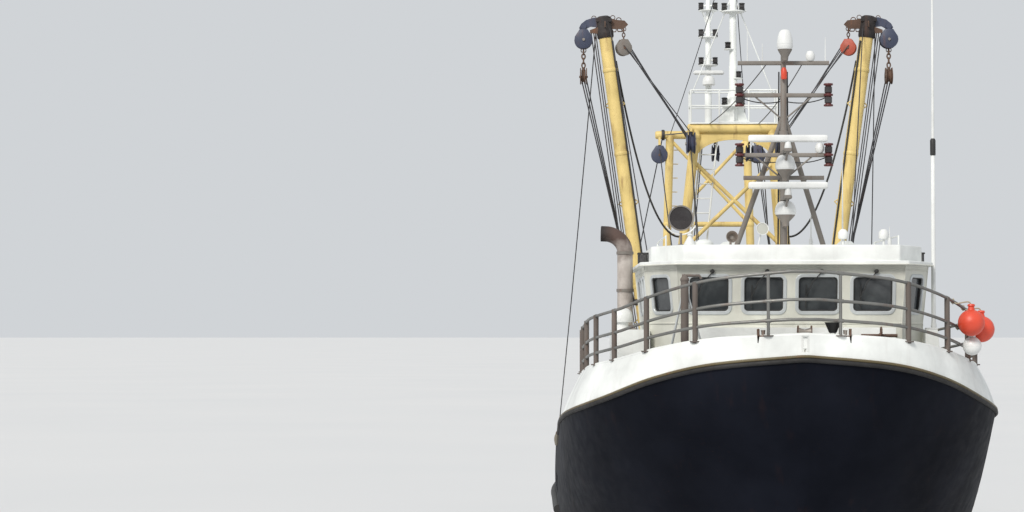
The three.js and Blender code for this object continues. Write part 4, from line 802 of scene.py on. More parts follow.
def roof_pieces():
    """The roof: an eave under a fascia box, a drip moulding, hatch, vents and grab rails."""
    top, over, x0 = HOUSE.top, ROOF.overhang, HOUSE.x
    eave = [(top + GAP, over - 0.012), (top + 0.01, over), (top + 0.06, over), (top + 0.07, over - 0.012)]
    box = [(top + 0.069, over - 0.03), (ROOF_Z - 0.03, over - 0.03), (ROOF_Z - 0.008, over - 0.042),
           (ROOF_Z, over - 0.07)]
    skins = [surface(np.array([roof_ring(*level, narrow) for level in levels]))
             for levels, narrow in ((eave, 1.0), (box, ROOF.narrow))]
    piece("roof_shell", skins, "white", replaces=["wheelhouse_roof"])
    drip = roof_ring(top + 0.012, over + 0.006)
    piece("roof_drip", tube(np.concatenate([drip, drip[:1]]), 0.011, 8), "cream")
    vent = [(0.09, 0), (0.09, 0.1), (0.16, 0.11), (0.16, 0.15), (0.1, 0.2), (0, 0.21)]
    parts = [block((x0 - 0.4, aft(6.2), ROOF_Z), (x0 + 0.4, aft(6.9), ROOF_Z + 0.09), 0.02)]
    parts += [turned(vent, (x0 + x, aft(s), ROOF_Z)) for x, s in ((-1.2, 6.6), (1.35, 7.3), (-0.7, 7.6))]
    piece("roof_hatch", parts, "white")
    parts = []
    for x in (x0 + 1.95, x0 - 1.95):
        route = [(x, aft(s), ROOF_Z + up) for s, up in ((4.9, 0), (4.9, 0.2), (8.0, 0.2), (8.0, 0))]
        legs = [straight(a, b, 6)[1:] for a, b in zip(route, route[1:])]
        parts.append(tube(np.concatenate([route[:1], *legs]), 0.014, 10))
    piece("roof_grab_rails", parts, "white")


def windows():
    """Each window: its middle on the wall's outside, steps right and up along it, half width."""
    middle = (WINDOW.low + WINDOW.high) / 2
    rise = middle - HOUSE.sill
    lean = HOUSE.rake / (HOUSE.top - HOUSE.sill)
    x0, front, half, front_half, corner = HOUSE.x, HOUSE.front, HOUSE.half, HOUSE.front_half, HOUSE.corner
    found = []
    for x in FRONT_WINDOWS:
        found.append(((x0 + x, aft(front - lean * rise), middle), X, (0, -lean, 1), WINDOW.half))
    slope = math.atan2(corner, half - front_half)
    out = np.array([math.sin(slope), -math.cos(slope)])
    outward = 0.72 * lean
    spot = np.array([(half + front_half) / 2, aft(front + corner / 2)]) + out * outward * rise
    for k in (1, -1):
        right, up = (math.cos(slope), k * math.sin(slope), 0), (k * out[0] * outward, out[1] * outward, 1)
        found.append(((x0 + k * spot[0], spot[1], middle), right, up, 0.27))
        wall_x = x0 + k * (half + 0.6 * lean * rise)
        for s in SIDE_WINDOWS:
            found.append(((wall_x, aft(s), middle), (0, k, 0), (k * 0.6 * lean, 0, 1), WINDOW.half))
    found.append(((x0 - 0.9, aft(HOUSE.aft), middle), (-1, 0, 0), UP, 0.42))
    return found


def on_wall(window, outline, depth):
    """Points of a flat outline laid on a window's wall, moved out by depth."""
    spot, right, up = (np.array(v, float) for v in window[:3])
    out = unit(np.cross(right, up))
    outline = np.asarray(outline)
    return spot + outline[..., :1] * right + outline[..., 1:] * up + np.asarray(depth)[..., None] * out


def rim(window, outline, profile):
    """A closed moulding round an outline on a wall, its profile given as (outward, proud)."""
    tangent = np.roll(outline, -1, axis=0) - np.roll(outline, 1, axis=0)
    normal = unit(np.stack([tangent[:, 1], -tangent[:, 0]], axis=1))
    profile = np.asarray(profile, float)
    flat = outline[:, None, :] + normal[:, None, :] * profile[None, :, :1]
    points = on_wall(window, flat, np.broadcast_to(profile[None, :, 1], flat.shape[:2]))
    return surface(np.concatenate([points, points[:1]]), ends=False)


FRAME_PROFILE = [(-0.016, -0.03), (-0.016, 0.008), (-0.008, 0.018), (0.03, 0.018), (0.042, 0.008),
                 (0.042, -0.002)]
GASKET_PROFILE = [(-0.03, -0.058), (-0.034, -0.02), (-0.012, -0.012), (-0.012, -0.058)]


def pane(window, outline, inner, outer):
    """A sheet of glass between two depths."""
    return surface(np.stack([on_wall(window, outline, depth) for depth in (inner, outer)]))


def glazing_pieces():
    """Panes, rubber gaskets and metal frames of every window, and the front ones' wipers."""
    panes, gaskets, frames = [], [], []
    for window in windows():
        outline = rounded(2 * window[3], WINDOW.high - WINDOW.low, WINDOW.round, 7)
        panes.append(pane(window, outline, -0.05, -0.042))
        gaskets.append(rim(window, outline, GASKET_PROFILE))
        frames.append(rim(window, outline, FRAME_PROFILE))
    piece("window_panes", panes, "glass")
    piece("window_gaskets", gaskets, "black")
    piece("window_frames", frames, "frame")
    arm = [(0.05, 0.36), (-0.1, 0.2), (-0.2, -0.05)]
    blade = [(-0.19, 0.15), (-0.2, -0.05), (-0.2, -0.22)]
    motor = [(0.035, 0), (0.035, 0.05), (0.02, 0.06)]
    parts = []
    for window in windows()[:len(FRONT_WINDOWS)]:
        parts.append(tube(on_wall(window, arm, (0.03, 0.045, 0.03)), 0.008, 8))
        parts.append(tube(on_wall(window, blade, 0.01), 0.01, 8))
        parts.append(turned(motor, on_wall(window, (0.05, 0.37), 0), (0, -1, 0), 16))
    piece("window_wipers", parts, "black")


def house_trim_pieces():
    """A rain gutter, weld beads at the corners, a sill moulding up to the door, door fittings."""
    gutter_z, sill_z = 6.06, HOUSE.sill + 0.01
    gutter = round_off(house_plan(gutter_z, 0.004), 0.02)
    sill = round_off(house_plan(sill_z, 0.006), 0.02)
    sill = np.roll(sill, len(sill) // 2, axis=0)
    door_ends = [[(x, sill[0, 1])] for x in (DOOR.x0 - 0.04, DOOR.x1 + 0.16)]
    rings = ((gutter_z, [gutter, gutter[:1]]), (sill_z, [door_ends[0], sill, door_ends[1]]))
    parts = [tube(house_ring(np.concatenate(ring), z), 0.012, 8) for z, ring in rings]
    levels = np.linspace(WHALEBACK + 0.02, HOUSE.top - 0.01, 14)
    corners = np.stack([house_plan(z, 0.001) for z in levels])
    parts += [tube(house_ring(corners[:, k], levels), 0.009, 8) for k in range(6)]
    piece("house_beads", parts, "cream")
    x0, y = HOUSE.x + DOOR.x0, aft(HOUSE.aft - 0.01)
    wide, high = DOOR.x1 - DOOR.x0, DOOR.z1 - DOOR.z0
    glazed, leaf = (((x0 + wide / 2, y, z), (-1, 0, 0), UP) for z in (5.66, DOOR.z0 + high / 2))
    outline = rounded(0.4, 0.58, 0.08, 7)
    piece("door_pane", pane(glazed, outline, -0.03, -0.022), "glass", body="wheelhouse_door")
    edge = rim(leaf, rounded(wide - 0.04, high - 0.04, 0.06, 7),
               [(-0.02, 0), (-0.02, 0.012), (0, 0.012), (0, 0)])
    piece("door_frame", [rim(glazed, outline, FRAME_PROFILE), edge], "frame", body="wheelhouse_door")
    dogs = [tube([(x0 + 0.09, y, z), (x0 + 0.09, y + 0.05, z), (x0 + 0.2, y + 0.06, z + 0.02)], 0.012, 10)
            for z in (4.5, 5.05, 5.75)]
    piece("door_dogs", dogs, "steel", body="wheelhouse_door")


# Roof fittings.


def floodlight(spot, radius, heading):
    """A round lamp: a bell of revolution with a rim, and a glass face set in it."""
    bell = [(0, -1.15), (0.35, -1.12), (0.75, -0.85), (0.95, -0.45), (1, 0), (1.06, 0.02), (1.06, 0.12),
            (0.94, 0.12), (0.94, 0.02), (0, 0.02)]
    face = [(0, 0.07), (0.6, 0.075), (0.94, 0.03), (0.94, 0.02), (0, 0.02)]
    return (turned(np.array(shape) * radius, spot, heading, 40) for shape in (bell, face))


def roof_fitting_pieces():
    """Searchlight in a part-circle hoop, side lights, whips on a rail, domes, floodlight, horn."""
    x0, top = HOUSE.x, HOUSE.top
    spot = np.array([x0 - 1.75, aft(3.98), ROOF_Z + 0.46])
    bell, face = floodlight(spot, 0.2, (0.05, -1, 0))
    turn = np.linspace(-0.15 * np.pi, -0.85 * np.pi, 20)
    hoop = np.column_stack([np.cos(turn), np.zeros(20), np.sin(turn)]) * 0.27 + spot
    post = turned([(0.06, 0), (0.06, 0.02), (0.022, 0.04), (0.022, 0.22)], (spot[0], spot[1], ROOF_Z - 0.002))
    piece("searchlight_bell", [bell, post], "grey")
    piece("searchlight_glass", face, "lamp_dark")
    piece("searchlight_hoop", tube(hoop, 0.012, 10), "plastic")
    boxes, lenses = [], []
    for k in (1, -1):
        x = x0 + k * (HOUSE.half + 0.078)
        boxes.append(block((x - 0.08, aft(5.1), top + 0.07), (x + 0.08, aft(5.4), top + 0.25), 0.012))
        boxes.append(block((x - 0.09, aft(5.12), top + 0.235), (x + 0.1, aft(5.42), top + 0.262), 0.008))
        lens = [(0, 0), (0.05, 0), (0.058, 0.03), (0.058, 0.1), (0.05, 0.13), (0, 0.13)]
        lenses.append(turned(lens, (x, aft(5.08), top + 0.09), sides=24))
    piece("sidelight_boxes", boxes, "black")
    piece("sidelight_lamps", lenses, "lamp_dark")
    ends = np.array([(x0 + x, aft(5.64), ROOF_Z + 0.04) for x in (0.5, 1.95, 0)])
    parts = [tube(ends[:2], 0.03, 12)]
    for x, high in ((0.56, 0.62), (1.1, 1.5), (1.9, 0.35)):
        foot = ends[2] + (x, 0, 0)
        parts += [whip(foot, high, 0.016, 10, 8, 0.4),
                  turned([(0.035, 0), (0.035, 0.1), (0.022, 0.16)], foot)]
    piece("whip_aerials", parts, "plastic")
    dome = [(0, 0), (0.02, 0), (0.02, 0.12), (0.075, 0.13), (0.085, 0.17), (0.08, 0.24), (0.045, 0.285),
            (0, 0.295)]
    cone = [(0.1, 0), (0.1, 0.02), (0.03, 0.15), (0.05, 0.17), (0, 0.22)]
    parts = [turned(profile, (x0 + x, aft(s), ROOF_Z))
             for profile, x, s in ((dome, 0.95, 4.3), (dome, 1.62, 4.3), (cone, -1.62, 3.7))]
    disc, face = floodlight((x0 - 0.38, aft(4.35), ROOF_Z + 0.3), 0.1, (0.15, -1, 0.1))
    arm = tube([(x0 - 0.45, aft(4.4), ROOF_Z), (x0 - 0.38, aft(4.42), ROOF_Z + 0.3)], 0.014, 10)
    piece("roof_domes", [*parts, disc, arm], "plastic")
    piece("roof_lamp_glass", face, "lamp_clear")
    horn = [(0.03, 0), (0.03, 0.22), (0.045, 0.3), (0.1, 0.4), (0.092, 0.4), (0.03, 0.3), (0, 0.3)]
    foot = [(x0 - 0.9, aft(4.45), ROOF_Z + up) for up in (0, 0.14)]
    piece("roof_horn", [turned(horn, (x0 - 0.9, aft(4.5), foot[1][2]), (0, -1, 0.05)), tube(foot, 0.02, 10)],
          "steel")


# Exhaust, vent and tall aerial.


def exhaust_pieces():
    """The exhaust: a pipe bent along part of an ellipse, mouth, base plate, straps; the vent's cap."""
    x, y, foot, top = EXHAUST_X, aft(6.4), CASING + 0.03, 6.43
    turn = np.linspace(0, math.radians(80), 22)
    bend = np.column_stack([x - 0.36 * (1 - np.cos(turn)), np.full(22, y), top + 0.33 * np.sin(turn)])
    path = np.concatenate([straight((x, y, foot), (x, y, top), 12)[:-1], bend, bend[-1:] + (-0.12, 0, 0.005)])
    piece("exhaust_bend", tube(path, 0.135, 40), "exhaust", replaces=["exhaust_pipe"])
    piece("exhaust_mouth", turned(rod(0.118, 0, 0.004), path[-1], (-1, 0, 0.03), 40), "soot")
    parts = [block((x - 0.19, y - 0.19, CASING + GAP), (x + 0.19, y + 0.19, foot), 0.008)]
    strap = [(0.136, 0), (0.15, 0), (0.15, 0.05), (0.136, 0.05)]
    parts += [turned(strap, (x, y, z), sides=40) for z in (foot, 5.75, 6.4)]
    piece("exhaust_straps", parts, "grey")
    cowl = [(0.11, 0), (0.11, 0.12), (0.165, 0.125), (0.182, 0.16), (0.182, 0.24), (0.16, 0.3), (0.11, 0.345),
            (0.05, 0.366), (0, 0.37)]
    piece("vent_cap", turned(cowl, (-2.58, aft(4.7), CASING + GAP), sides=40), "plastic",
          replaces=["vent_cowl"])


AERIAL = Sizes(x=2.575, s=4.4, foot=2.44, joint=8.1, top=11.5)


def aerial_pieces():
    """The tall aerial: foot plate, tapered lower length, black sleeve and thin upper length."""
    x, y, joint, top = AERIAL.x, aft(AERIAL.s), AERIAL.joint, AERIAL.top
    seat = CASING + GAP
    pole = [(0, seat + 0.01), (0.046, seat + 0.01), (0.046, seat + 0.09), (0.038, seat + 0.11),
            (0.034, joint), (0, joint)]
    upper = [(0, joint), (0.026, joint), (0.014, top - 0.01), (0, top)]
    parts = [block((AERIAL.foot, y - 0.08, seat), (x + 0.06, y + 0.08, seat + 0.03)),
             turned(pole, (x, y, 0), sides=24), turned(upper, (x, y, 0), sides=16)]
    piece("aerial_lengths", parts, "plastic", replaces=["aerial_pole"])
    sleeve = [(0, -0.12), (0.042, -0.12), (0.046, -0.1), (0.046, 0.13), (0.03, 0.16), (0, 0.16)]
    piece("aerial_sleeve", turned(sleeve, (x, y, joint), sides=24), "black")


# Radar mast.

MAST = Sizes(x=0.12, s=4.6, foot=0.74, apex=8.66, top=9.72)
YARDS = ((7.62, 0.67), (8.0, 0.75), (9.0, 0.76), (9.54, 0.76))
LANTERNS = ((9.0, -0.74), (9.0, 0.74), (8.0, -0.74), (8.0, 0.74))
RADOMES = (("radome_lower", 6.99, 0.18, 0.23), ("radome_middle", 7.74, 0.17, 0.25),
           ("radome_upper", 9.74, 0.135, 0.33))
RADOME_AHEAD = 0.28
SCANNER_AHEAD = 0.76
SCANNERS = (("radar_scanner_lower", 7.42, "radar_lower"), ("radar_scanner_upper", 8.19, "radar_upper"))


def lantern(x, y, z):
    """A navigation light: a stack of two drums with caps, and a lens in each."""
    waist = both_ways([(0.078, 0.015), (0.05, 0.02)])
    cap = [(0.05, 0.155), (0.075, 0.16), (0.08, 0.175), (0.075, 0.19)]
    stack = both_ways(cap)
    stack = [(0, -0.19), *stack[:4], *waist, *stack[4:], (0, 0.2)]
    lens = [(0.052, 0), (0.064, 0.01), (0.064, 0.1), (0.052, 0.11)]
    lenses = [turned(lens, (x, y, z + low), sides=28) for low in (-0.14, 0.03)]
    return turned(stack, (x, y, z), sides=28), lenses


def mast_pieces():
    """The radar mast: a stepped pole on two legs, yards, brackets, lanterns and cables."""
    x0, y = MAST.x, aft(MAST.s)
    foot = ROOF_Z + GAP
    pole = [(0, foot), (0.11, foot), (0.11, foot + 0.02), (0.06, foot + 0.05), (0.06, 8.3), (0.075, 8.31),
            (0.075, 8.4), (0.055, 8.41), (0.055, 9.3), (0.045, 9.35), (0.045, MAST.top), (0, MAST.top)]
    parts = [turned(pole, (x0, y, 0))]
    for k in (1, -1):
        leg_x = x0 + k * MAST.foot
        parts += [
            tube(straight((leg_x, y + 0.7, foot + 0.03), (x0, y, MAST.apex), 4), 0.045, 20),
            block((leg_x - 0.11, y + 0.59, foot), (leg_x + 0.11, y + 0.81, foot + 0.03)),
            tube([(x0 + k * 0.42, y + 0.4, 7.62), (x0, y, 7.62)], 0.02, 10),
        ]
    for z, half in YARDS:
        parts.append(swept(straight((x0 - half, y, z), (x0 + half, y, z), 3), rounded(0.07, 0.07, 0.018)))
    for z, k in product((8.0, 9.0), (1, -1)):
        parts.append(tube([(x0 + k * 0.5, y, z), (x0, y, z - 0.42)], 0.014, 8))
    for _, z, radius, _ in RADOMES:
        cup = [(0, -0.19), (0.05, -0.19), (0.06, -0.12), (radius * 0.85, -0.02), (radius * 0.9, -GAP),
               (0, -GAP)]
        parts.append(turned(cup, (x0, y - RADOME_AHEAD, z)))
        parts.append(block((x0 - 0.035, y - RADOME_AHEAD, z - 0.2), (x0 + 0.035, y, z - 0.12)))
    for _, z, _ in SCANNERS:
        parts.append(block((x0 - 0.06, y - SCANNER_AHEAD - 0.06, z - 0.19), (x0 + 0.06, y, z - 0.13), 0.012))
        parts.append(tube([(x0, y - 0.04, z - 0.5), (x0, y - SCANNER_AHEAD + 0.1, z - 0.17)], 0.02, 10))
    piece("mast_frame", parts, "grey", replaces=["radar_mast"])
    lanterns = [lantern(x0 + x, y - 0.075, z) for z, x in LANTERNS]
    piece("mast_lanterns", [drum for drum, _ in lanterns], "lantern")
    piece("mast_lenses", [lens for _, lenses in lanterns for lens in lenses], "lamp_dark")
    beacon = [(0, 0), (0.04, 0), (0.05, 0.02), (0.05, 0.14), (0.03, 0.19), (0, 0.2)]
    piece("mast_beacon", turned(beacon, (x0, y - 0.11, 9.26), sides=28), "orange")
    small = [(0, 0), (0.05, 0), (0.075, 0.04), (0.078, 0.1), (0.05, 0.16), (0, 0.175)]
    parts = [turned(small, (x0 + x, y, z)) for x, z in ((0.6, 8.036), (0.45, 9.576))]
    for x, z, high in ((-0.6, 9.57, 0.5), (0.7, 9.57, 0.4), (-0.35, 9.57, 0.3), (-0.55, 8.03, 0.3)):
        parts.append(whip((x0 + x, y, z), high, 0.01, 8, 5, 0.5))
    piece("mast_aerials", parts, "plastic")
    parts = []
    for k in (1, -1):
        for z in (9.0, 8.0):
            route = sagging((x0 + k * 0.7, y + 0.04, z - 0.04), (x0 + k * 0.05, y + 0.05, z - 0.1), 0.05)
            parts.append(tube(route, 0.009, 8))
        route = straight((x0 + k * 0.07, y + 0.06, 9.4), (x0 + k * 0.09, y + 0.1, foot), 8)
        parts.append(tube(route, 0.012, 8))
    piece("mast_cables", parts, "black")


def radar_pieces():
    """The radomes, domes of a cosine's and a sine's powers, and the scanner bars on their turntables."""
    x0, y = MAST.x, aft(MAST.s)
    turn = np.linspace(0, np.pi / 2, 14)
    for name, z, radius, height in RADOMES:
        dome = np.column_stack([0.98 * np.cos(turn) ** 0.55, 0.24 + 0.76 * np.sin(turn) ** 1.25])
        dome[-1] = (0, 1)
        base = [(0, 0), (0.9, 0), (0.93, 0.05), (0.99, 0.12), (0.99, 0.2), (0.96, 0.21)]
        skin = turned(np.concatenate([base, dome]) * (radius, height), (x0, y - RADOME_AHEAD, z), sides=48)
        piece(name + "_dome", skin, "plastic", replaces=[name])
    ends = np.array([0.65, 0.642, 0.62])
    where = np.concatenate([-ends, np.linspace(-0.58, 0.58, 9), ends[::-1]])
    taper = np.array([0.5, 0.82, 0.96])
    for name, z, body in SCANNERS:
        spot = np.array([x0, y - SCANNER_AHEAD, z])
        stand = [(0, -0.13), (0.055, -0.13), (0.06, -0.11), (0.05, -0.06), (0.044, -0.02), (0, -0.01)]
        path = spot + (0, 0, 0.03) + where[:, None] * X
        bar = swept(path, rounded(0.118, 0.118, 0.035), np.concatenate([taper, np.ones(9), taper[::-1]]))
        piece(name + "_bar", [turned(stand, spot), bar], "plastic", body=body, replaces=[name])


# Gantries.

GANTRY = Sizes(s=14.0, top=9.2, half_top=0.77, half_foot=1.64, foot=1.64, deep=1.56, tube=0.1,
              aft_top=0.42, aft_foot=1.85, aft_half=1.5, platform=0.125)
ARCH = Sizes(z=8.6, rise=0.42)
BLOCK_X = 0.9
BLOCK_AHEAD = 0.36


def gantry_half(z):
    """Half the gantry's width at height z."""
    share = (GANTRY.top - z) / (GANTRY.top - GANTRY.foot)
    return GANTRY.half_top + (GANTRY.half_foot - GANTRY.half_top) * share


def fore_leg(k, z):
    """The point of the gantry's fore leg at height z, k being 1 to port."""
    return np.array([k * gantry_half(z), aft(GANTRY.s), z])


def after_leg(k, z):
    """The point of the gantry's after leg at height z."""
    share = (GANTRY.top - z) / (GANTRY.top - GANTRY.deep)
    out = GANTRY.half_top + (GANTRY.aft_half - GANTRY.half_top) * share
    back = GANTRY.aft_top + (GANTRY.aft_foot - GANTRY.aft_top) * share
    return np.array([k * out, aft(GANTRY.s) + back, z])


def collar(spot, axis, radius, wide=0.05, proud=0.012):
    """A weld ring round a tube: a raised band with sloping edges."""
    band = both_ways([(radius + proud, wide * 0.6), (radius + 0.002, wide), (radius * 0.9, wide)])
    return turned(band, spot, axis, 28)


def gantry_pieces():
    """The gantry: raked legs, crossbeam, gusset cut by half an ellipse, bracing, platform, ladder."""
    y, top, half_top, deep, radius = aft(GANTRY.s), GANTRY.top, GANTRY.half_top, GANTRY.deep, GANTRY.tube
    parts = []
    for k in (1, -1):
        leg = straight(fore_leg(k, deep), fore_leg(k, top), 6)
        way = leg[-1] - leg[0]
        parts.append(tube(leg, radius, 36))
        parts += [collar(leg[-1] - way * t, way, radius) for t in (0.02, 0.34, 0.97)]
        parts.append(swept(straight(after_leg(k, deep), after_leg(k, top), 4), rounded(0.15, 0.15, 0.025)))
        for z0, z1, size, sides in ((4.6, 4.6, 0.05, 20), (6.7, 6.7, 0.05, 20), (4.6, 6.7, 0.03, 16),
                                    (6.7, 9.0, 0.03, 16)):
            parts.append(tube([fore_leg(k, z0), after_leg(k, z1)], size, sides))
        parts.append(tube([fore_leg(k, 8.56), fore_leg(-k, 6.72)], 0.042, 24))
        parts.append(tube([fore_leg(k, 6.65), (k * 0.25, y, 5.2)], 0.03, 16))
        lug = [(-0.48, -0.09), (-0.3, -0.09), (0.08, -0.06), (0.08, 0.06), (-0.1, 0.06), (-0.48, -0.02)]
        parts.append(slab(np.array(lug) + (y, top), k * BLOCK_X - 0.025, k * BLOCK_X + 0.025, 0))
        foot = fore_leg(k, 1.7) * (1, 1, 0)
        parts.append(block(foot + (-0.19, -0.19, 1.625), foot + (0.19, 0.19, 1.675), 0.01))
    ends = both_ways([(0.1, 0.91), (0.092, 0.935), (0.07, 0.948), (0, 0.95)])
    parts.append(turned(ends, (0, y, top), X, 36))
    parts.append(tube([after_leg(-1, top), after_leg(1, top)], 0.08, 28))
    parts.append(tube([fore_leg(-1, 6.7), fore_leg(1, 6.7)], 0.07, 28))
    turn = np.linspace(0, np.pi, 25)
    half, low = gantry_half(ARCH.z), ARCH.z - 0.04
    under = np.column_stack([-np.cos(turn) * (half - 0.04), ARCH.z + np.sin(turn) * ARCH.rise])
    outside = [(half, low), (half_top, top), (-half_top, top), (-half, low)]
    parts.append(slab(np.concatenate([outside, under]), y - 0.015, y + 0.015, 1))
    lip = np.column_stack([under[:, 0], np.full(25, y), under[:, 1]])
    parts.append(swept(lip, rounded(0.09, 0.02, 0.006)))
    piece("gantry_frame", parts, "yellow", replaces=["gantry"])
    deck = block((-0.9, y - 0.09, top + 0.09), (0.9, y + 0.5, top + GANTRY.platform), 0.008)
    piece("gantry_platform", deck, "white")
    low = np.array([-gantry_half(2.0) + 0.22, y + 0.14, 1.9])
    high = np.array([-gantry_half(9.0) + 0.16, y + 0.14, 9.2])
    step = np.array([0.32, 0, 0])
    parts = [tube([low + shift, high + shift], 0.018, 12) for shift in (0 * step, step)]
    parts += [tube([spot, spot + step], 0.012, 10)
              for spot in low + (high - low) * np.linspace(0.03, 0.97, 24)[:, None]]
    piece("gantry_ladder", parts, "white")


PAIR_LAMPS = (9.76, 11.7)
SINGLE_LAMPS = ((0.11, 10.3), (-0.11, 10.9))


def gantry_top_pieces():
    """White rails round the platform, and the finned pole with its lamps and aerials."""
    y, foot = aft(GANTRY.s), GANTRY.top + GANTRY.platform + GAP
    middle = y + 0.2
    front, back = y - 0.07, y + 0.48
    corners = [(-0.88, front), (-0.3, front), (0.3, front), (0.88, front), (0.88, back), (-0.88, back)]
    parts = [tube([(*corner, foot), (*corner, foot + 0.67)], 0.018, 14) for corner in corners]
    for up, (a, b) in product((0.34, 0.66), ((0, 3), (3, 4), (0, 5), (4, 5))):
        parts.append(tube([(*corners[a], foot + up), (*corners[b], foot + up)], 0.016, 14))
    pole = [(0, foot), (0.16, foot), (0.16, foot + 0.03), (0.09, foot + 0.06), (0.084, 10.5), (0.075, 10.52),
            (0.068, 12.0), (0.06, 12.02), (0.055, 13.18), (0, 13.2)]
    parts.append(turned(pole, (0, middle, 0), sides=36))
    parts.append(block((-0.32, y - 0.09, foot), (0.32, y + 0.4, foot + 0.02)))
    fin = np.array([(-0.31, 0.015), (0.31, 0.015), (0.03, 0.82), (-0.03, 0.82)])
    parts.append(slab(fin + (0, foot), middle - 0.01, middle + 0.01, 1))
    parts.append(slab(fin * (0.6, 1) + (middle, foot), -0.01, 0.01, 0))
    plate = [(0, -0.1), (0.22, -0.1), (0.235, -0.09), (0.235, -0.07), (0.22, -0.062), (0, -0.062)]
    for z in PAIR_LAMPS:
        parts.append(tube([(-0.27, middle, z - 0.06), (0.27, middle, z - 0.06)], 0.022, 14))
        parts.append(turned(plate, (0, middle, z)))
    plate = [(0, -0.075), (0.1, -0.072), (0.105, -0.062), (0.1, -0.052), (0, -0.05)]
    for x, z in SINGLE_LAMPS:
        parts.append(turned(plate, (x * 0.8, y + 0.17, z + 0.006), sides=28))
    for x, z in ((0.3, 12.3), (-0.3, 12.6)):
        parts.append(tube([(0, middle, z), (x, middle, z)], 0.014, 10))
        parts.append(tube([(x, middle, z - 0.05), (x, middle, z + 0.4)], 0.01, 8))
    parts += [tube([(0, middle, 12.0), (k * 0.82, y + 0.44, foot + 0.66)], 0.012, 10) for k in (1, -1)]
    piece("gantry_top_frame", parts, "white", replaces=["gantry_top"])
    drum = [(0, -0.05), (0.055, -0.05), (0.06, -0.035), (0.06, -0.02), (0.045, -0.015), (0.045, 0.06),
            (0.06, 0.065), (0.06, 0.09), (0, 0.1)]
    lens = [(0.046, -0.012), (0.055, -0.005), (0.055, 0.05), (0.046, 0.058)]
    lamps = [(x, z) for z in PAIR_LAMPS for x in (-0.18, 0.18)] + list(SINGLE_LAMPS)
    for name, profile, look in (("lamps", drum, "black"), ("glass", lens, "lamp_dark")):
        parts = [turned(profile, (x, y + 0.16, z), sides=24) for x, z in lamps]
        piece("gantry_top_" + name, parts, look)


STERN = Sizes(s=22.0, half=1.15, top=9.7, half_top=0.9)


def stern_gantry_pieces():
    """The after gantry: legs with back stays, crossbeam with lugs, ties, bracing and rungs."""
    y, top, half, half_top = aft(STERN.s), STERN.top, STERN.half, STERN.half_top
    parts = []
    for k in (1, -1):
        leg = straight((k * half, y, 1.6), (k * half_top, y, top), 5)
        way = leg[-1] - leg[0]
        parts.append(tube(leg, 0.095, 32))
        parts += [collar(leg[0] + way * t, way, 0.095) for t in (0.02, 0.44, 0.74)]
        parts.append(tube([(k * 1.3, y + 1.5, 1.6), (k * (half_top + 0.06), y, 6.2)], 0.06, 24))
        parts.append(tube([(-k * 0.97, y, 7.6), (k * 0.9, y, top - 0.1)], 0.04, 20))
        lug = [(y - 0.1, top - 0.24), (y + 0.1, top - 0.24), (y + 0.07, top), (y - 0.07, top)]
        parts.append(slab(lug, k * 1.15 - 0.025, k * 1.15 + 0.025, 0))
        parts.append(block((k * 1.15 - 0.17, y - 0.17, 1.66), (k * 1.15 + 0.17, y + 0.17, 1.72), 0.01))
    ends = both_ways([(0.095, 1.2), (0.09, 1.23), (0.07, 1.248), (0, 1.25)])
    parts.append(turned(ends, (0, y, top), X))
    parts += [tube([(-1.02, y, z), (1.02, y, z)], 0.06, 24) for z in (7.6, 5.2)]
    for z in np.arange(2.1, 9.4, 0.33):
        x = half + (half_top - half) * (z - 1.6) / (top - 1.6)
        rung = [(shift - x, y + back, z) for shift, back in ((-0.02, 0.08), (0.02, 0.2), (0.22, 0.2))]
        parts.append(tube(rung, 0.01, 8))
    piece("stern_gantry_frame", parts, "yellow", replaces=["stern_gantry"])


STERN_LAMPS = (12.75, 12.12, 11.46)


